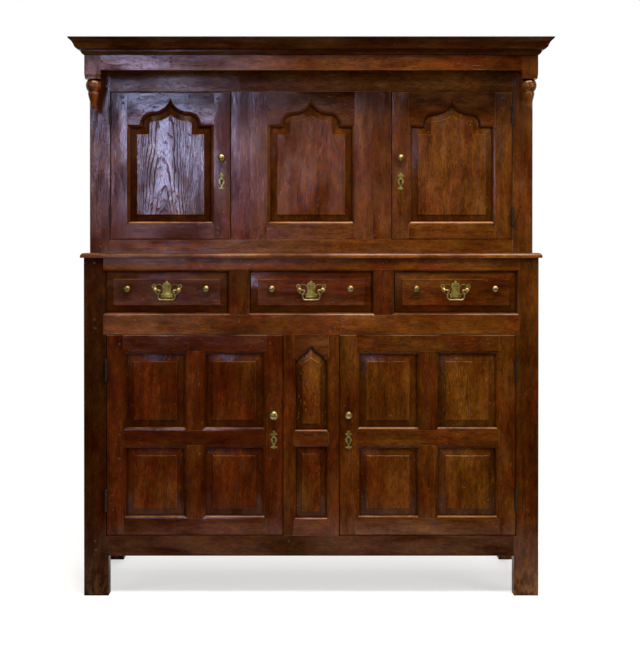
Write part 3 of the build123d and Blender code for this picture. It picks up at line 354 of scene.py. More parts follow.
# Handled brass: knobs and bails rubbed to a soft pale gold by use.
rubbedBrass = metalMaterial("rubbed cast brass", {
    "dark": "#7d6a34", "light": "#b9a46c", "dirt": "#2a2110", "rough": (0.24, 0.42),
    "spotSize": 16, "gritSize": 1.2, "metal": 1.0, "pits": 0.03})
# Tarnished brass: plates that nobody touches, gone olive brown with thin bright edges.
tarnishedBrass = metalMaterial("tarnished sheet brass", {
    "dark": "#5e5114", "light": "#9a8a3a", "dirt": "#1c1505", "rough": (0.34, 0.5),
    "spotSize": 12, "gritSize": 1.0, "metal": 0.55, "pits": 0.04})
# Forged iron: blackened, with a brown bloom of old rust and wax.
forgedIron = metalMaterial("forged iron", {
    "dark": "#140c08", "light": "#33200f", "dirt": "#0a0502", "rough": (0.45, 0.7),
    "spotSize": 9, "gritSize": 1.5, "metal": 0.5, "pits": 0.12})
# End grain of oak pegs: darker than the boards round them, and a little open.
pegOak, tree, shader = newMaterial("oak peg end grain")
place = addNode(tree, "TexCoord").outputs["Object"]
grit = addNode(tree, "TexNoise", {"Vector": place, "Scale": 420.0, "Detail": 2.0})
ramp = addNode(tree, "ValToRGB", {"Fac": grit})
stops = ramp.color_ramp.elements
stops[0].position, stops[0].color = 0.35, linear("#170802")
stops[1].position, stops[1].color = 0.70, linear("#5a2f10")
height = addNode(tree, "Math", {0: grit, 1: 0.1 * mm}, operation="MULTIPLY")
bump = addNode(tree, "Bump", {"Height": height, "Distance": 1.0})
connect(tree, shader, {"Base Color": ramp, "Roughness": 0.4, "Specular IOR Level": 0.35, "Normal": bump})
slotOf |= {rubbedBrass: "brass", tarnishedBrass: "brass", forgedIron: "iron", pegOak: "waxed_oak"}
print("finishes are mixed")

workshop = bpy.data.collections.new("workshop")
scene.collection.children.link(workshop)
bodyOf = {}
for nodeName, nodeObject in frame["nodes"].items():
    bodyOf[nodeName] = next(b for b, o in frame["bodies"].items() if o == nodeObject.parent)


def solidShape(points, faces, scale=1.0):
    shape = bmesh.new()
    verts = [shape.verts.new(Vector(p) * scale) for p in points]
    for face in faces:
        shape.faces.new([verts[i] for i in face])
    bmesh.ops.recalc_face_normals(shape, faces=shape.faces)
    return shape


def rawObject(points, faces):
    mesh = bpy.data.meshes.new("blank")
    shape = solidShape(points, faces)
    shape.to_mesh(mesh)
    shape.free()
    made = bpy.data.objects.new("blank", mesh)
    workshop.objects.link(made)
    return made


def spanOf(shape):
    return [Vector([pick(v.co[i] for v in shape.verts) for i in range(3)]) for pick in (min, max)]


def prism(outline, front, back):
    count = len(outline)
    points = [(x, front, z) for x, z in outline] + [(x, back, z) for x, z in outline]
    faces = [tuple(range(count)), tuple(reversed(range(count, 2 * count)))]
    faces += [(i, i + count, (i + 1) % count + count, (i + 1) % count) for i in range(count)]
    return points, faces


def ringSolid(rings):
    count = len(rings[0])
    points = [p for ring in rings for p in ring]
    faces = [tuple(range(count)), tuple(reversed(range(len(points) - count, len(points))))]
    for start in range(0, len(points) - count, count):
        for i in range(count):
            j = (i + 1) % count
            faces.append((start + i, start + j, start + count + j, start + count + i))
    return points, faces


def arcPoints(cx, cz, radius, start, end, steps):
    turns = [math.radians(start + (end - start) * i / steps) for i in range(steps + 1)]
    return [(cx + radius * math.cos(t), cz + radius * math.sin(t)) for t in turns]


def lightOf(left, right, bottom, top, sizes, **more):
    return {"left": left, "right": right, "bottom": bottom, "top": top, "sight": sizes["sight"], "bevel": sizes["bevel"]} | more


def openingRing(opening, inset, y):
    left, right = opening["left"] + inset, opening["right"] - inset
    bottom, shoulder = opening["bottom"] + inset, opening["top"] - inset
    points = [(left, bottom), (right, bottom), (right, shoulder)]
    if "arch" in opening:
        arch, share = opening["arch"], inset / (opening["sight"] + opening["bevel"])
        if "line" in arch:
            head = [(a + (b - a) * share, shoulder + c + (e - c) * share) for (a, c), (b, e) in arch["line"]]
        else:
            centre, foot, cusp = [a + (b - a) * share for a, b in zip(arch["outer"], arch["field"])]
            spring = shoulder + arch["neck"] * share
            cuspAngle = math.degrees(math.acos(centre / cusp))
            head = [(centre + foot, shoulder)] + arcPoints(centre, spring, foot, 0, 90, arch["steps"])
            head += arcPoints(centre, spring + foot + cusp, cusp, 270, 180 + cuspAngle, arch["steps"])[1:]
        middle = (left + right) / 2
        points += [(middle + x, z) for x, z in head]
        points += [(middle - x, z) for x, z in reversed(head[:-1])]
    points.append((left, shoulder))
    return [(x, y, z) for x, z in points]


# The ovolo round each opening, as shares of its width and depth, with a quirk at its start.
moulding = {"depth": 8.5, "quirk": (0.05, 0.03), "start": 0.05, "width": 0.89, "fall": 0.85, "pastFace": 5,
            "angles": (8, 24, 40, 55, 70, 82, 90)}
ovolo = [(0, 0), moulding["quirk"]]
for t in map(math.radians, moulding["angles"]):
    across, down = moulding["width"] * math.sin(t), moulding["fall"] * (1 - math.cos(t))
    ovolo.append((moulding["start"] + across, moulding["start"] + down))
ovolo.append((1.0, 1.0))


def mouldedCutter(opening, face, back):
    sight, past = opening["sight"], moulding["pastFace"]
    rings = [openingRing(opening, 0, face - past)]
    rings += [openingRing(opening, sight * across, face + moulding["depth"] * down) for across, down in ovolo]
    return ringSolid(rings + [openingRing(opening, sight, back + past)])


def mitred(start, end, edge, out):
    return [(start, edge), (start + abs(out), edge + out), (end - abs(out), edge + out), (end, edge)]


def memberOutline(span, openings):
    x0, x1, z0, z1 = span
    lower, right, upper, left = [], [], [], []
    for o in openings:
        sight = o["sight"]
        if o["left"] >= x0 - hair and o["right"] <= x1 + hair:
            lower += mitred(o["left"], o["right"], z0, -sight) if abs(o["top"] - z0) < hair else []
            upper += mitred(o["left"], o["right"], z1, sight) if abs(o["bottom"] - z1) < hair else []
        if o["bottom"] >= z0 - hair and o["top"] <= z1 + hair:
            right += mitred(o["bottom"], o["top"], x1, sight) if abs(o["left"] - x1) < hair else []
            left += mitred(o["bottom"], o["top"], x0, -sight) if abs(o["right"] - x0) < hair else []
    outline = [(x0, z0)] + sorted(lower) + [(x1, z0)] + [(x, z) for z, x in sorted(right, key=lambda p: p[0])]
    outline += [(x1, z1)] + sorted(upper, reverse=True) + [(x0, z1)]
    outline += [(x, z) for z, x in sorted(left, key=lambda p: -p[0])]
    clean = []
    for point in outline:
        if not clean or abs(point[0] - clean[-1][0]) + abs(point[1] - clean[-1][1]) > hair:
            clean.append(point)
    if abs(clean[0][0] - clean[-1][0]) + abs(clean[0][1] - clean[-1][1]) < hair:
        clean.pop()
    return clean


def lookOf(tone=1.0, warmth=0.4, fleck=0.1, spread=0.05):
    return (tone * (1 + dice.uniform(-spread, spread)), warmth + dice.uniform(-spread, spread), fleck)


def boardFrom(shape, look, **more):
    return {"shape": shape, "look": look, "axis": None, "arris": 0.5, "shade": 0.5, "rim": None,
            "worn": None, "dull": 0.0, "matt": 0.0, "centred": False} | more


def carved(blank, cutters):
    body = rawObject(*blank)
    for cutter in cutters:
        cut = body.modifiers.new("cut", "BOOLEAN")
        cut.object, cut.operation, cut.solver = rawObject(*cutter), "DIFFERENCE", "EXACT"
    return body


def easeEdges(shape, edges, size, mark):
    made = bmesh.ops.bevel(shape, geom=edges, offset=size, segments=2, profile=0.5, affect="EDGES", clamp_overlap=False)
    for face in made["faces"]:
        face[shape.faces.layers.float["arris"]] = mark


def squareEdges(shape):
    found = []
    for edge in shape.edges:
        if len(edge.link_faces) == 2 and edge.calc_length() > 3 and edge.calc_face_angle(0) > math.radians(30):
            if all(max(abs(v) for v in f.normal) > 0.999 for f in edge.link_faces):
                found.append(edge)
    return found


def finishedShape(board):
    shape = board["shape"]
    bmesh.ops.remove_doubles(shape, verts=shape.verts, dist=0.002)
    bmesh.ops.dissolve_degenerate(shape, edges=shape.edges, dist=0.002)
    bmesh.ops.dissolve_limit(shape, angle_limit=math.radians(0.5), verts=shape.verts, edges=shape.edges)
    shape.faces.layers.float.new("arris")
    if board["rim"]:  # a door's own outer edges are eased more than its tight joints, and marked for painted shade in the gap round the door
        x0, x1, z0, z1, size = board["rim"]
        limits = ((0, x0), (0, x1), (2, z0), (2, z1))
        outer = [e for e in squareEdges(shape) if any(all(abs(v.co[a] - at) < hair for v in e.verts) for a, at in limits)]
        easeEdges(shape, outer, size, -1.0)
    if board["arris"] > 0:  # a wide one is the open joint between two dry boards, full of dust
        easeEdges(shape, squareEdges(shape), board["arris"], 1.0 if board["arris"] < 1 else -1.0)
    return shape


def settle(name, mesh, nodes, body=None):
    mesh.name = name
    piece = bpy.data.objects.new(name, mesh)
    scene.collection.objects.link(piece)
    if nodes:
        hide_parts(*nodes)
    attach(piece, body or bodyOf[nodes[0]])
    return piece


def smoothed(mesh, material, angle):
    mesh.materials.append(material)
    mesh.polygons.foreach_set("use_smooth", [True] * len(mesh.polygons))
    mesh.set_sharp_from_angle(angle=math.radians(angle))


def makePiece(name, boards, material, nodes, smooth=35):
    mesh = bpy.data.meshes.new(name)
    points, faces, places, looks, rubbed, shaded = [], [], [], [], [], []
    for board in boards:
        shape = finishedShape(board)
        low, high = spanOf(shape)
        size, middle = high - low, (low + high) / 2
        axis = board["axis"] if board["axis"] is not None else max(range(3), key=lambda i: size[i])
        order = [axis] + sorted((i for i in range(3) if i != axis), key=lambda i: -size[i])
        offset = Vector() if board["centred"] else Vector([dice.uniform(0, 9) for _ in range(3)])
        start = len(points)
        arrisLayer = shape.faces.layers.float["arris"]
        shape.verts.index_update()
        for v in shape.verts:
            points.append(v.co * mm)
            local = (v.co - middle) * mm
            places.append(Vector([local[i] for i in order]) + offset)
            looks.append(board["look"])
        for f in shape.faces:
            faces.append([start + v.index for v in f.verts])
            sloping = max(abs(v) for v in f.normal) < 0.999
            edge = f[arrisLayer]
            # painted highlight: in the band just behind the face, a field's step or an ovolo's outer part, slopes that
            # face upward get the full pale rub; other slopes of fields and drawer fronts get only a little real wear
            if board["worn"] and sloping and board["worn"][0] < f.calc_center_median().y < board["worn"][1]:
                edge = 1.0 if f.normal.z > 0.3 else 0.15 if board["dull"] else 0.0
            # painted highlight: the half-upward facet of a rim marked below zero gets the pale rub too
            if edge < 0 and 0.2 < f.normal.z < 0.8:
                edge = 1.0
            # painted shade: sloping faces that face sideways or down are darkened by the board's shade share, upward
            # slopes only by its small dull share, which also dulls their polish; flat faces take its matt share
            dark = (board["dull"] if f.normal.z > 0.1 else board["shade"]) if sloping and not edge else board["matt"]
            # faces marked below zero are darkened most: painted shade in the gap round a door, and dust in the open
            # joints of dry boards; rubbed holds the pale rub of arrises together with the painted highlights set above
            rubbed.append(max(edge, 0.0))
            shaded.append(2.0 if edge < 0 else dark)
        shape.free()
    mesh.from_pydata(points, [], faces)
    for title, values in (("grainPlace", places), ("boardLook", looks)):
        layer = mesh.attributes.new(title, "FLOAT_VECTOR", "POINT")
        layer.data.foreach_set("vector", [c for v in values for c in v])
    for title, values in (("arris", rubbed), ("shaded", shaded)):
        layer = mesh.attributes.new(title, "FLOAT", "FACE")
        layer.data.foreach_set("value", values)
    smoothed(mesh, material, smooth)
    mesh.update()
    rough = bpy.data.objects.new(name + "Rough", mesh)
    workshop.objects.link(rough)
    rough.modifiers.new("flat faces stay flat", "WEIGHTED_NORMAL").keep_sharp = True
    graph = bpy.context.evaluated_depsgraph_get()
    plain = bpy.data.meshes.new_from_object(rough.evaluated_get(graph), preserve_all_data_layers=True, depsgraph=graph)
    bpy.data.objects.remove(rough)
    return settle(name, plain, nodes)


def pieceName(node, ending=""):
    return "".join(w if i == 0 else w.capitalize() for i, w in enumerate(node.split("_"))) + ending


def nodeShapes(node):
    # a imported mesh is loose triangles, one closed solid after another
    packed = frame["nodes"][node].data
    keys = [tuple(round(c * 1e6) for c in v.co) for v in packed.vertices]
    shapes, current, loose = [], [], {}
    for polygon in packed.polygons:
        loop = [keys[i] for i in polygon.vertices]
        current.append(loop)
        for a, b in zip(loop, loop[1:] + loop[:1]):
            if (b, a) in loose:
                loose[(b, a)] -= 1
                if not loose[(b, a)]:
                    del loose[(b, a)]
            else:
                loose[(a, b)] = loose.get((a, b), 0) + 1
        if not loose:
            shape = bmesh.new()
            verts = {key: shape.verts.new([c / 1000 for c in key]) for key in {k for face in current for k in face}}
            for face in current:
                if len(set(face)) > 2:
                    shape.faces.new([verts[key] for key in face])
            bmesh.ops.recalc_face_normals(shape, faces=shape.faces)
            shapes.append(shape)
            current = []
    return shapes


def cutBoards(jobs):
    graph = bpy.context.evaluated_depsgraph_get()
    boards = []
    for job in jobs:
        shape = bmesh.new()
        shape.from_mesh(job.pop("body").evaluated_get(graph).to_mesh())
        boards.append(boardFrom(shape, **job))
    for made in list(workshop.objects):
        bpy.data.objects.remove(made)
    return boards


def nodeSpan(node):
    low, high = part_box(node)
    return [c / mm for c in low], [c / mm for c in high]


def frontOf(node):
    low, high = nodeSpan(node)
    return low[0], high[0], low[2], high[2], low[1]


def archTop(opening, past=0):
    centre, foot, cusp = opening["arch"]["outer"]
    return opening["top"] + foot + cusp - math.sqrt(cusp ** 2 - centre ** 2) + past


# A field stands up from its bevel by a small step; each point of the step is inset and depth.
fielded = {"groove": 10.5, "setBack": 2.0, "tongue": 7, "step": [(-0.5, 2.1), (0, 1.9), (0.2, 0.7), (0.9, 0.05), (1.6, 0)]}


def memberJobs(spans, openings, face, thickness, look, rim=None):
    jobs = []
    back, past = face + thickness, fielded["tongue"] + 1
    for span in spans:
        x0, x1, z0, z1 = span
        near = [o for o in openings if x0 <= o["right"] + hair and x1 >= o["left"] - hair
                and z0 <= o["top"] + hair and z1 >= o["bottom"] - hair]
        cutters = [mouldedCutter(o, face, back) for o in near]
        for o in near:
            if "arch" in o:  # the head is rebated behind for the panel's peak
                middle, reach = (o["left"] + o["right"]) / 2, sum(o["arch"]["outer"][:2]) + past
                low, high = o["top"] - 2 * o["sight"], archTop(o, past)
                rebate = [(middle - reach, low), (middle + reach, low), (middle + reach, high), (middle - reach, high)]
                cutters.append(prism(rebate, face + fielded["groove"], back + moulding["pastFace"]))
        blank = prism(memberOutline(span, near), face, back)
        jobs.append({"body": carved(blank, cutters), "look": lookOf(*look), "axis": 0 if x1 - x0 > z1 - z0 else 2,
                     "arris": 0.3, "rim": rim, "worn": (face + 0.3, face + 4.5)})
    return jobs


def fieldJobs(opening, face, look, centred=False):
    inner, outer = opening["sight"], opening["sight"] + opening["bevel"]
    edge, field, tongue = face + fielded["groove"], face + fielded["setBack"], fielded["tongue"]
    steps = [(inner - 3, edge + 3), (inner - 3, edge + 0.6), (inner, edge)]
    steps += [(outer + across, field + down) for across, down in fielded["step"]]
    panel = rawObject(*ringSolid([openingRing(opening, inset, y) for inset, y in steps]))
    x0, x1 = opening["left"] + inner - tongue, opening["right"] - inner + tongue
    z0, z1 = opening["bottom"] + inner - tongue, opening["top"] - inner + tongue
    if "arch" in opening:
        middle, reach = (opening["left"] + opening["right"]) / 2, sum(opening["arch"]["outer"][:2]) + tongue
        x0, x1, z1 = max(x0, middle - reach), min(x1, middle + reach), archTop(opening, tongue)
    slab = rawObject(*prism([(x0, z0), (x1, z0), (x1, z1), (x0, z1)], edge + 1, edge + 6))
    return [{"body": panel, "look": look, "axis": 2, "arris": 0, "shade": 1.0, "dull": 0.15,
             "worn": (field + 0.02, field + 1.95), "centred": centred}, {"body": slab, "look": look, "axis": 2}]


# Four fielded panels in each moulded lower door.
lowerDoor = {
    "stile": 55.0, "muntin": 50.0, "topRail": 54.0, "midRail": 48.6, "sillRail": 53.5,
    "upperLight": 258.0, "sight": 11.0, "bevel": 23.0, "thickness": 24.0, "easedRim": 3.6,
    "left": {"frame": (0.86, 0.1), "panels": [(0.98, 0.2), (0.98, 0.2), (0.95, 0.15), (1.0, 0.25)]},
    "right": {"frame": (1.0, 0.5), "panels": [(1.08, 0.5), (1.12, 0.6), (1.1, 0.7, 0.3), (1.2, 0.8, 0.5)]},
}
for side in ("left", "right"):
    d, name = lowerDoor, "lower_" + side
    x0, x1, z0, z1, face = frontOf(name + "_door_frame")
    left, right = x0 + d["stile"], x1 - d["stile"]
    middle = (left + right) / 2
    muntin = (middle - d["muntin"] / 2, middle + d["muntin"] / 2)
    top = (z1 - d["topRail"] - d["upperLight"], z1 - d["topRail"])
    foot = (z0 + d["sillRail"], top[0] - d["midRail"])
    spans = [(x0, left, z0, z1), (right, x1, z0, z1), (left, right, z0, foot[0]), (left, right, foot[1], top[0]),
             (left, right, top[1], z1), (*muntin, *foot), (*muntin, *top)]
    lights = [lightOf(*column, *row, d) for column in ((left, muntin[0]), (muntin[1], right)) for row in (foot, top)]
    jobs = memberJobs(spans, lights, face, d["thickness"], d[side]["frame"], (x0, x1, z0, z1, d["easedRim"]))
    makePiece(pieceName(name, "DoorFrame"), cutBoards(jobs), waxedOak, [name + "_door_frame"])
    jobs = [job for light, tone in zip(lights, d[side]["panels"]) for job in fieldJobs(light, face, lookOf(*tone))]
    makePiece(pieceName(name, "DoorPanels"), cutBoards(jobs), waxedOak, [name + "_door_panels"])
print("lower doors are framed")

# The narrow frame between the lower doors: a small ogee head over a plain panel. The head is drawn
# by pairs of points, at the moulding's outer edge and at the field.
lowerCentre = {
    "half": 90.0, "light": 57.0, "z": (196.0, 246.5, 491.3, 533.5, 775.6, 852.0), "sight": 8.0, "bevel": 20.0,
    "thickness": 32.0,
    "ogee": {"outer": (25.0, 22.0, 25.4), "line": [
        ((47, 0), (26, 0)), ((42.5, 8), (26, 8)), ((36, 14), (25.2, 11.4)), ((28, 18.5), (21.5, 14.6)),
        ((20, 22), (16, 17.6)), ((13.5, 28), (10.5, 21)), ((7, 35.8), (5, 25)), ((0, 43), (0, 29))]},
    "frame": (1.0, 0.35), "panels": [(0.96, 0.35, 0.4), (1.05, 0.5, 0.9)], "drawerMuntins": (0.9, 0.3),
}
c, face = lowerCentre, nodeSpan("lower_muntins")[0][1]
half, wide = c["half"], c["light"]
sill, low, lowTop, head, headTop, rail = c["z"]
lights = [lightOf(-wide, wide, low, lowTop, c), lightOf(-wide, wide, head, headTop, c, arch=c["ogee"])]
spans = [(-half, -wide, sill, rail), (wide, half, sill, rail), (-wide, wide, sill, low),
         (-wide, wide, lowTop, head), (-wide, wide, headTop, rail)]
boards = cutBoards(memberJobs(spans, lights, face, c["thickness"], c["frame"]))
shapes = nodeShapes("lower_muntins")
shapes.sort(key=lambda s: -max(v.co.z for v in s.verts))
boards += [boardFrom(shape, lookOf(*c["drawerMuntins"])) for shape in shapes[:2]]
makePiece("lowerMuntinsWood", boards, waxedOak, ["lower_muntins"])
jobs = [job for light, tone in zip(lights, c["panels"]) for job in fieldJobs(light, face, lookOf(*tone))]
makePiece("lowerCentrePanels", cutBoards(jobs), waxedOak, ["lower_centre_panels"])

# Ogee-headed frames: two upper doors and the fixed centre between them.
archedFrame = {
    "sizes": {"sillRail": 51.0, "headRail": 110.0, "sight": 10.5, "bevel": 21.5, "thickness": 24.0, "doorway": (1160.0, 1654.0)},
    "ogee": {"outer": (60.0, 43.0, 61.4), "field": (60.0, 11.0, 93.4), "neck": 32.0, "steps": 14},
    "upper_left_door": {"stile": 56.0, "rim": 3.2, "frame": (1.0, 0.25), "panel": (0.9, 0.3, 0.0), "oak": figuredOak},
    "upper_right_door": {"stile": 56.0, "rim": 3.2, "frame": (1.15, 0.6), "panel": (1.25, 0.7, 0.3), "oak": waxedOak},
    "upper_centre": {"stile": 60.0, "rim": 0.5, "frame": (1.15, 0.5), "panel": (1.25, 0.65, 0.2), "oak": waxedOak},
}
for name in ("upper_left_door", "upper_right_door", "upper_centre"):
    a, spec = archedFrame["sizes"], archedFrame[name]
    x0, x1, z0, z1, face = frontOf(name + "_frame")
    left, right = x0 + spec["stile"], x1 - spec["stile"]
    bottom, top = a["doorway"][0] + a["sillRail"], a["doorway"][1] - a["headRail"]
    light = lightOf(left, right, bottom, top, a, arch=archedFrame["ogee"])
    spans = [(x0, left, z0, z1), (right, x1, z0, z1), (left, right, z0, bottom), (left, right, top, z1)]
    jobs = memberJobs(spans, [light], face, a["thickness"], spec["frame"], (x0, x1, z0, z1, spec["rim"]))
    makePiece(pieceName(name, "Frame"), cutBoards(jobs), waxedOak, [name + "_frame"])
    boards = cutBoards(fieldJobs(light, face, lookOf(*spec["panel"], spread=0), spec["oak"] is figuredOak))
    makePiece(pieceName(name, "Panel"), boards, spec["oak"], [name + ("_panel" if name == "upper_centre" else "_panels")])
print("arched frames are made")

# Boards that keep the solids' own shape, with their arrises eased; looks are left and right.
plainBoards = {
    "lower_posts": (waxedOak, (0.4, 0.35), (0.84, 0.7)),
    "lower_front_rails": (waxedOak, (1.35, 0.45), (1.4, 0.5)),
    "lower_side_and_back_rails": (waxedOak, (0.8, 0.3), (0.9, 0.5)),
    "lower_side_panels": (waxedOak, (0.9, 0.3, 0.3), (1.0, 0.5, 0.4)),
    "lower_back_boards": (dryOak, (0.95, 0.5)),
    "floor_boards": (dryOak, (0.9, 0.4)),
    "drawer_runners": (dryOak, (0.9, 0.4)),
    "waist_boards": (waxedOak, (1.5, 0.7)),
    "upper_posts": (waxedOak, (1.0, 0.2), (1.0, 0.6)),
    "upper_front_rails": (waxedOak, (1.25, 0.8)),
    "upper_muntins": (waxedOak, (1.05, 0.3), (1.15, 0.55)),
    "upper_side_and_back_rails": (waxedOak, (0.85, 0.35), (0.9, 0.5)),
    "upper_side_panels": (waxedOak, (0.95, 0.4, 0.3), (1.0, 0.5, 0.4)),
    "upper_back_boards": (dryOak, (0.95, 0.5)),
    "frieze_rails": (waxedOak, (0.98, 0.5)),
    "cornice": (waxedOak, (0.8, 0.5)),
    "roof_boards": (dryOak, (0.9, 0.4)),
    "door_stops": (dryOak, (0.9, 0.4)),
    "left_drawer_box": (dryOak, (1.0, 0.5)),
    "centre_drawer_box": (dryOak, (1.0, 0.5)),
    "right_drawer_box": (dryOak, (1.0, 0.5)),
}
nailed = ("lower_back_boards", "upper_back_boards")
# members that a door or drawer shuts against keep a nearly sharp edge, so the gap reads dark
arrisOf = dict.fromkeys(("lower_front_rails", "upper_front_rails", "lower_posts", "upper_posts", "upper_muntins"), 0.3)
arrisOf |= dict.fromkeys(nailed + ("roof_boards", "floor_boards"), 1.5) | {"cornice": 0}
nails = {"sizes": {"Radius": 3.6 * mm, "Proud": 1.0 * mm, "Crown": 0.6, "Unevenness": 0.15, "Seed": 9},
         "inset": 16.0, "shares": (0.25, 0.75), "hole": 4.6, "holeSides": 12, "sunk": 1.6}
nailSpots = []


def circleLoop(x, z, radius, steps=14):
    return arcPoints(x, z, radius, 0, 360 - 360 / steps, steps - 1)


def punched(shape):
    low, high = spanOf(shape)
    shape.verts.index_update()
    blank = [tuple(v.co) for v in shape.verts], [[v.index for v in f.verts] for f in shape.faces]
    shape.free()
    cutters = []
    bottom = high[1] - nails["sunk"]
    for x in [low[0] + (high[0] - low[0]) * share for share in nails["shares"]]:
        for z in (low[2] + nails["inset"], high[2] - nails["inset"]):
            cutters.append(prism(circleLoop(x, z, nails["hole"], nails["holeSides"]), bottom, high[1] + 5))
            nailSpots.append((x, bottom - 0.1, z))
    return cutBoards([{"body": carved(blank, cutters), "look": (1, 0, 0)}])[0]["shape"]


for node, (material, *sideLooks) in plainBoards.items():
    boards = []
    for shape in nodeShapes(node):
        centre = sum(v.co.x for v in shape.verts) / len(shape.verts)
        look, matt = lookOf(*sideLooks[0 if centre < 0 else -1]), 0.0
        if node == "lower_front_rails" and max(v.co.z for v in shape.verts) < 300:
            look = lookOf(0.62, 0.55)  # the bottom rail is given a darker tone than the other rails
        if node == "upper_front_rails" and min(v.co.z for v in shape.verts) > 1500:
            look, matt = (look[0] * 1.22, look[1], look[2]), 0.15  # the head rail under the frieze gets a lighter tone, less polish and a slight painted shade
        if material is dryOak:
            look = lookOf(*sideLooks[0], spread=0.14)
        if node in nailed:  # each nail is punched into its own hole, below the face of the board
            shape = punched(shape)
        boards.append(boardFrom(shape, look, arris=arrisOf.get(node, 0.6), shade=0.3, matt=matt))
    makePiece(pieceName(node, "Wood"), boards, material, [node], smooth=62 if node == "cornice" else 48)

# Drawer fronts: one board each, its field raised by a wide bevel all round.
drawerFront = {"sight": 0, "bevel": 23.0, "looks": {"left": (0.78, 0.3), "centre": (0.95, 0.4), "right": (1.0, 0.55)}}
for side, look in drawerFront["looks"].items():
    node = side + "_drawer_front"
    x0, x1, z0, z1, face = frontOf(node)
    shape = nodeShapes(node)[0]
    edge = min(v.co.y for v in shape.verts if abs(v.co.x - x0) < 0.1)
    shape.free()
    front, bevel = lightOf(x0, x1, z0, z1, drawerFront), drawerFront["bevel"]
    steps = [(0, nodeSpan(node)[1][1]), (0, edge + 0.6), (0.6, edge)]
    steps += [(bevel + across, face + down) for across, down in fielded["step"]]
    body = rawObject(*ringSolid([openingRing(front, inset, y) for inset, y in steps]))
    job = {"body": body, "look": lookOf(*look), "axis": 0, "arris": 0, "shade": 0.9, "dull": 0.15,
           "worn": (face + 0.02, face + 1.95)}
    makePiece(pieceName(side, "DrawerFront"), cutBoards([job]), waxedOak, [node])
print("plain boards are eased")


def turnedShape(stations, centre, axis, sides):
    # stations are radius and distance along the axis, from one closed end to the other
    toward = Vector(axis).normalized()
    across = toward.orthogonal().normalized()
    other = toward.cross(across)
    turns = [math.tau * i / sides for i in range(sides)]
    rings = []
    for radius, along in stations:
        middle = Vector(centre) + toward * along
        rings.append([middle + (across * math.cos(t) + other * math.sin(t)) * max(radius, 0.02) for t in turns])
    return ringSolid(rings)


def castPiece(name, parts, material, nodes, body=None, smooth=40):
    points, faces = [], []
    for partPoints, partFaces in parts:
        faces += [[len(points) + i for i in face] for face in partFaces]
        points += partPoints
    shape = solidShape(points, faces, mm)
    mesh = bpy.data.meshes.new(name)
    shape.to_mesh(mesh)
    shape.free()
    smoothed(mesh, material, smooth)
    return settle(name, mesh, nodes, body)


# A pendant at each front corner: a coved block, a ball, and a tapering tail with a bead.
pendant = {
    "block": 53.0, "sides": 40, "look": (0.9, 0.6),
    "foot": [(53, 1700), (52, 1696), (50.4, 1691), (49.6, 1684)],
    "profile": [(12, 1686), (15, 1683.8), (19.5, 1681.5), (23.2, 1676.5), (25.4, 1669), (25.6, 1662), (24.0, 1654.5),
                (20.6, 1648), (17.6, 1644.5), (17.2, 1642.5), (18.6, 1640.5), (18.4, 1636), (16.6, 1627), (13.6, 1616),
                (11.0, 1606), (9.8, 1601.5), (11.0, 1599), (11.0, 1596.5), (9.6, 1594.5), (9.2, 1590), (8.4, 1587.2),
                (0, 1586.2)],
}
low, high = nodeSpan("corner_pendants")
boards = []
for side in (-1, 1):
    half = pendant["block"] / 2
    x, y = side * (high[0] - half), low[1] + half
    block = [[(x + a * w / 2, y + b * w / 2, z) for a, b in ((-1, -1), (1, -1), (1, 1), (-1, 1))]
             for w, z in [(pendant["block"], high[2])] + pendant["foot"]]
    for solid in (ringSolid(block), turnedShape(pendant["profile"], (x, y, 0), (0, 0, 1), pendant["sides"])):
        boards.append(boardFrom(solidShape(*solid), lookOf(*pendant["look"]), axis=2, arris=0, shade=0))
makePiece("cornerPendants", boards, waxedOak, ["corner_pendants"], smooth=44)
print("pendants are turned")


def smoothLoop(points, rounds=2):
    # cuts each corner of a closed outline in turn, which rounds it
    for _ in range(rounds):
        cut = []
        for (ax, az), (bx, bz) in zip(points, points[1:] + points[:1]):
            cut += [(ax * 0.75 + bx * 0.25, az * 0.75 + bz * 0.25), (ax * 0.25 + bx * 0.75, az * 0.25 + bz * 0.75)]
        points = cut
    return points


def mirrored(half):
    return half + [(-x, z) for x, z in reversed(half) if x > hair]


def sheetParts(loops, centre, thickness, edge):
    # a flat sheet with pierced holes, its edges filed round
    curve = bpy.data.curves.new("sheet", "CURVE")
    curve.dimensions, curve.fill_mode = "2D", "BOTH"
    curve.extrude, curve.bevel_depth, curve.bevel_resolution = thickness / 2 - edge, edge, 1
    curve.offset = -edge
    for loop in loops:
        spline = curve.splines.new("POLY")
        spline.points.add(len(loop) - 1)
        for point, (x, z) in zip(spline.points, loop):
            point.co = (x, z, 0, 1)
        spline.use_cyclic_u = True
    made = bpy.data.objects.new("sheet", curve)
    workshop.objects.link(made)
    mesh = bpy.data.meshes.new_from_object(made.evaluated_get(bpy.context.evaluated_depsgraph_get()))
    shape = bmesh.new()
    shape.from_mesh(mesh)
    bmesh.ops.remove_doubles(shape, verts=shape.verts, dist=0.01)
    shape.verts.index_update()
    points = [(centre[0] + v.co.x, centre[1] - thickness / 2 - v.co.z, centre[2] + v.co.y) for v in shape.verts]
    faces = [[v.index for v in f.verts] for f in shape.faces]
    shape.free()
    bpy.data.objects.remove(made)
    bpy.data.meshes.remove(mesh)
    return points, faces


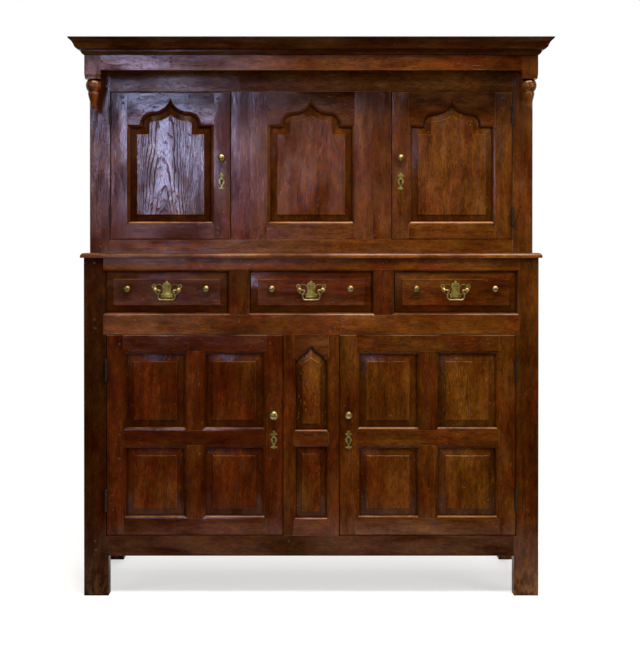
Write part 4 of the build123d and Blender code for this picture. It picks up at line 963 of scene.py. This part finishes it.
knob = {  # its profile is in shares of its radius: a spun foot, a thin neck and a mushroom head
    "profile": [(0.0, 0.0), (0.60, 0.0), (0.62, 0.06), (0.55, 0.14), (0.40, 0.24), (0.34, 0.38), (0.35, 0.56),
                (0.46, 0.70), (0.80, 0.86), (0.95, 1.0), (1.0, 1.16), (0.98, 1.32), (0.88, 1.52), (0.70, 1.70),
                (0.42, 1.83), (0.18, 1.875), (0.0, 1.88)],
    "sides": 32, "drawerOffset": 128.0, "drawerRise": 11.5,
    "radius": {"lower_left": 15.5, "lower_right": 12.5, "upper_left": 13.0, "upper_right": 11.5, "drawer": 11.0},
}
escutcheon = {
    "outline": [(0, -30.5), (1.8, -28), (4.5, -25.8), (8.8, -27), (10.9, -24), (8.6, -20.8), (5.2, -20), (3.0, -17.6),
                (3.0, -15), (5.4, -11.5), (9.2, -5.5), (11.0, 0), (9.2, 5), (5.4, 9.8), (3.0, 13), (3.2, 15),
                (6.5, 14.2), (10.2, 16.6), (10.6, 20.6), (7.6, 23.4), (4.2, 22.4), (4.6, 25.5), (4.0, 29), (0, 31)],
    "keyhole": [(0, 7.4), (3.6, 6.4), (5.2, 3.6), (4.4, 0.4), (2.6, -2.2), (3.2, -9.6), (0, -10.4)],
    "thickness": 1.5, "filed": 0.35, "rubbed": ("upper_left",),
}
batwing = {
    "outline": [(0, -25), (9, -24.2), (16, -25), (19.4, -24.6), (19.4, -22), (17, -17.2), (18.2, -15.4), (24, -17),
                (31, -15.6), (37, -10.2), (41.4, -6.6), (45.4, -2.5), (45.8, 1.8), (43.4, 5.2), (47.2, 6.8), (49.4, 11),
                (48, 16.6), (43.6, 19.8), (38.6, 18.6), (36.4, 15.6), (33, 18), (27, 20), (20, 19), (14.6, 15),
                (12, 17.5), (12.8, 21.4), (9, 24.6), (5.4, 22.6), (5, 26.4), (2.6, 29.6), (0, 31.4)],
    "wingHole": [(13, -2), (14.2, -8), (18, -13), (25, -15), (31, -12.6), (34, -7.5), (33, -3.5), (31, 0), (32.5, 6),
                 (36.5, 12.4), (33, 15.6), (27, 17.6), (20.5, 16.4), (15.5, 12.4), (13.4, 4)],
    "tipHole": (43, 13, 2.8), "midHole": (5.5, 11, 2.0, 10),
    "posts": 38.0, "rise": 6.6, "thickness": 1.6, "filed": 0.4, "standOff": 12.0, "ball": 5.5, "ballSides": 24,
}
bail = {
    "start": 31.5, "pin": 5, "pinWire": 1.9, "neck": 28, "hook": 3.6, "hookReach": 25.0, "hookTurn": 140.0,
    "sway": 14.0, "corner": 10.0, "drop": 31.0, "bar": (12, 10, 8, 6, 4, 2), "wire": 2.4, "swell": 3.6,
    "swellLength": 24.0, "sides": 16,
}


def knobParts(x, z, radius, y):
    return turnedShape([(r * radius, h * radius) for r, h in knob["profile"]], (x, y, z), (0, -1, 0), knob["sides"])


for name in ("lower_left", "lower_right", "upper_left", "upper_right"):
    node = name + "_door_knob_and_escutcheon"
    (knobLow, knobHigh), (plateLow, plateHigh) = [spanOf(shape) for shape in nodeShapes(node)]
    x, z, y = (knobLow[0] + knobHigh[0]) / 2, (knobLow[2] + knobHigh[2]) / 2, knobHigh[1]
    castPiece(pieceName(name, "DoorKnob"), [knobParts(x, z, knob["radius"][name], y)], rubbedBrass, [node])
    x, z = (plateLow[0] + plateHigh[0]) / 2, (plateLow[2] + plateHigh[2]) / 2
    keyhole = smoothLoop(mirrored(escutcheon["keyhole"]), 1)
    loops = [smoothLoop(mirrored(escutcheon["outline"])), keyhole]
    plate = sheetParts(loops, (x, y, z), escutcheon["thickness"], escutcheon["filed"])
    brass = rubbedBrass if name in escutcheon["rubbed"] else tarnishedBrass
    castPiece(pieceName(name, "DoorEscutcheon"), [plate], brass, [], bodyOf[node])
    # painted shade: a thin sheet of dark iron fills the keyhole, standing in for the shade inside the hole
    dark = prism([(x + a, z + b) for a, b in keyhole], y - 0.15, y + 0.5)
    castPiece(pieceName(name, "DoorKeyway"), [dark], forgedIron, [], bodyOf[node])

for side in ("left", "centre", "right"):
    b, node = batwing, side + "_drawer_brasses"
    low, high = nodeSpan(node)
    middle, y = (low[0] + high[0]) / 2, high[1]
    drawerLow, drawerHigh = nodeSpan(side + "_drawer_front")
    height = (drawerLow[2] + drawerHigh[2]) / 2
    postHeight = height + b["rise"]
    loops = [smoothLoop(mirrored(b["outline"]))]
    for turn in (-1, 1):
        loops.append(smoothLoop([(turn * px, pz) for px, pz in b["wingHole"]]))
        loops += [circleLoop(turn * px, *rest) for px, *rest in (b["tipHole"], b["midHole"])]
    plate = sheetParts(loops, (middle, y, postHeight), b["thickness"], b["filed"])
    castPiece(side + "DrawerPlate", [plate], tarnishedBrass, [node])
    ball, off = b["ball"], b["standOff"]
    stations = [(0, 0), (ball * 1.25, 0), (ball * 1.25, 0.8), (ball * 0.9, 1.8), (ball * 0.55, 3.2), (ball * 0.5, off - ball * 1.1)]
    stations += [(ball * math.cos(t), off + ball * math.sin(t)) for t in map(math.radians, range(-62, 90, 14))]
    stations.append((0, off + ball))
    parts = []
    for turn in (-1, 1):
        post = (middle + turn * b["posts"], y - b["thickness"], postHeight)
        parts.append(turnedShape(stations, post, (0, -1, 0), b["ballSides"]))
        parts.append(knobParts(middle + turn * knob["drawerOffset"], height + knob["drawerRise"], knob["radius"]["drawer"], y))
    castPiece(side + "DrawerKnobs", parts, rubbedBrass, [], bodyOf[node])

    # the bail: hooked necks, swan sides and a bar that swells where the fingers pull
    lean = 90 + bail["hookTurn"]
    reach = bail["hook"] + bail["sway"]
    swayX = bail["hookReach"] + reach * math.cos(math.radians(lean))
    swayZ = reach * math.sin(math.radians(lean)) - bail["hook"]
    cornerX = swayX + bail["sway"] - bail["corner"]
    half = [(bail["start"] + bail["pin"], 0), (bail["start"], 0), (bail["neck"], 0)]
    half += arcPoints(bail["hookReach"], -bail["hook"], bail["hook"], 90, lean, 10)
    half += arcPoints(swayX, swayZ, bail["sway"], lean - 180, 0, 12)[1:]
    half += arcPoints(cornerX, bail["corner"] - bail["drop"], bail["corner"], 0, -90, 8)
    half += [(x, -bail["drop"]) for x in bail["bar"]]
    run = half + [(0, -bail["drop"])] + [(-x, z) for x, z in reversed(half)]
    pinY = y - b["thickness"] - b["standOff"]
    back = Vector((0, 1, 0))
    turns = [math.tau * k / bail["sides"] for k in range(bail["sides"])]
    rings = []
    for i, (x, z) in enumerate(run):
        before, after = run[max(i - 1, 0)], run[min(i + 1, len(run) - 1)]
        out = Vector((after[0] - before[0], 0, after[1] - before[1])).normalized().cross(back)
        wire = bail["wire"]
        if z < -bail["drop"] + 0.5 and abs(x) < bail["swellLength"] / 2:
            wire += (bail["swell"] - wire) * math.cos(math.pi * x / bail["swellLength"]) ** 0.7
        elif abs(x) > bail["start"]:
            wire = bail["pinWire"]
        at = Vector((middle + x, pinY, postHeight + z))
        rings.append([at + (out * math.cos(t) + back * math.sin(t)) * wire for t in turns])
    castPiece(side + "DrawerBail", [ringSolid(rings)], rubbedBrass, [side + "_drawer_bail"], smooth=60)
print("brasses are cast")


# Pegs and nails share one tree, which sets a low cone with a flat top on each point. Pegs stand a
# little proud of the wood, and nails lie in their holes.
fastenerTree = bpy.data.node_groups.new("fasteners", "GeometryNodeTree")
sockets = [("Geometry", "INPUT", "Geometry"), *[(title, "INPUT", "Float") for title in ("Radius", "Proud", "Crown", "Unevenness")],
           ("Seed", "INPUT", "Int"), ("Finish", "INPUT", "Material"), ("Geometry", "OUTPUT", "Geometry")]
for title, way, kind in sockets:
    fastenerTree.interface.new_socket(title, in_out=way, socket_type="NodeSocket" + kind)
given = addNode(fastenerTree, "NodeGroupInput").outputs
crown = addNode(fastenerTree, "Math", {0: given["Radius"], 1: given["Crown"]}, operation="MULTIPLY")
head = addNode(fastenerTree, "GeometryNodeMeshCone", {
    "Vertices": 10, "Radius Top": crown, "Radius Bottom": given["Radius"], "Depth": given["Proud"]})
facing = addNode(fastenerTree, "GeometryNodeInputNamedAttribute", {"Name": "facing"}, data_type="FLOAT_VECTOR")
aim = addNode(fastenerTree, "FunctionNodeAlignRotationToVector", {"Vector": facing}, axis="Z")
spin = addNode(fastenerTree, "FunctionNodeRandomValue", {"Max": math.tau, "Seed": given["Seed"]}, data_type="FLOAT")
spinAxis = addNode(fastenerTree, "CombineXYZ", {"Z": spin.outputs["Value"]})
aim = addNode(fastenerTree, "FunctionNodeRotateRotation", {0: aim, 1: spinAxis}, rotation_space="LOCAL")
scale = addNode(fastenerTree, "FunctionNodeRandomValue", {"Seed": given["Seed"]}, data_type="FLOAT")
for title, way in (("Min", "SUBTRACT"), ("Max", "ADD")):
    limit = addNode(fastenerTree, "Math", {0: 1.0, 1: given["Unevenness"]}, operation=way)
    socket = next(s for s in scale.inputs if s.name == title and s.type == "VALUE")
    fastenerTree.links.new(limit.outputs[0], socket)
points = addNode(fastenerTree, "GeometryNodeMeshToPoints", {"Mesh": given["Geometry"]})
placed = addNode(fastenerTree, "GeometryNodeInstanceOnPoints", {
    "Points": points, "Instance": head.outputs["Mesh"], "Rotation": aim,
    "Scale": next(s for s in scale.outputs if s.type == "VALUE")})
solid = addNode(fastenerTree, "GeometryNodeRealizeInstances", {0: placed})
coated = addNode(fastenerTree, "GeometryNodeSetMaterial", {"Geometry": solid, "Material": given["Finish"]})
addNode(fastenerTree, "NodeGroupOutput", {0: coated})


def fasteners(name, spots, facingWay, body, finish, sizes):
    mesh = bpy.data.meshes.new(name)
    mesh.from_pydata([Vector(s) * mm for s in spots], [], [])
    layer = mesh.attributes.new("facing", "FLOAT_VECTOR", "POINT")
    layer.data.foreach_set("vector", [c for _ in spots for c in facingWay])
    marked = bpy.data.objects.new(name, mesh)
    workshop.objects.link(marked)
    modifier = marked.modifiers.new("fasteners", "NODES")
    modifier.node_group = fastenerTree
    inputs = [s for s in fastenerTree.interface.items_tree if s.item_type == "SOCKET" and s.in_out == "INPUT"]
    socketOf = {s.name: s.identifier for s in inputs}
    for title, value in (sizes | {"Finish": finish}).items():
        modifier[socketOf[title]] = value
    graph = bpy.context.evaluated_depsgraph_get()
    plain = bpy.data.meshes.new_from_object(marked.evaluated_get(graph), depsgraph=graph)
    bpy.data.objects.remove(marked)
    shape = bmesh.new()
    shape.from_mesh(plain)
    bmesh.ops.recalc_face_normals(shape, faces=shape.faces)
    shape.to_mesh(plain)
    shape.free()
    settle(name, plain, [], body)


pegs = {
    "sizes": {"Radius": 4.2 * mm, "Proud": 0.7 * mm, "Crown": 0.86, "Unevenness": 0.14, "Seed": 5},
    "lowerFront": [(-706, 1084), (706, 1084), (-703, 872), (-706, 900), (704, 870), (706, 902), (-702, 150),
                   (-704, 178), (703, 148), (705, 180), (-235, 1085), (235, 1083), (-235, 893), (236, 890),
                   (-73, 872), (74, 868), (-73, 178), (73, 176)],
    "upperFront": [(-703, 1138), (704, 1140), (-705, 1682), (-703, 1668), (704, 1680), (706, 1666), (-237, 1668),
                   (236, 1666), (-236, 1149), (237, 1151)],
    "lift": 0.2, "doorInset": 13.0, "stray": 3,
    "doorStile": {"lower": 55.0, "upper": 56.0},
    "doorRails": {"lower": (26.7, 250.6, 326.8, 625.5), "upper": (22.0, 38.0, 455.0, 470.0)},
}
spots = []
for rails, places in (("lower_front_rails", pegs["lowerFront"]), ("upper_front_rails", pegs["upperFront"])):
    face = nodeSpan(rails)[0][1] + pegs["lift"]
    spots += [(x, face, z) for x, z in places]
fasteners("carcassPegs", spots, (0, -1, 0), "carcass", pegOak, pegs["sizes"])
for stage in ("lower", "upper"):
    inset = pegs["doorStile"][stage] - pegs["doorInset"]
    for side in ("left", "right"):
        node = stage + "_" + side + "_door_frame"
        x0, x1, z0, z1, face = frontOf(node)
        spots = [(x, face + pegs["lift"], z0 + up + dice.uniform(-pegs["stray"], pegs["stray"]))
                 for x in (x0 + inset, x1 - inset) for up in pegs["doorRails"][stage]]
        fasteners(stage + side.capitalize() + "DoorPegs", spots, (0, -1, 0), bodyOf[node], pegOak, pegs["sizes"])
fasteners("backNails", nailSpots, (0, 1, 0), "carcass", forgedIron, nails["sizes"])
print("pegs and nails are driven")

for node, made in frame["nodes"].items():
    if not made.hide_render:
        made.material_slots[0].material = forgedIron

bpy.data.collections.remove(workshop)
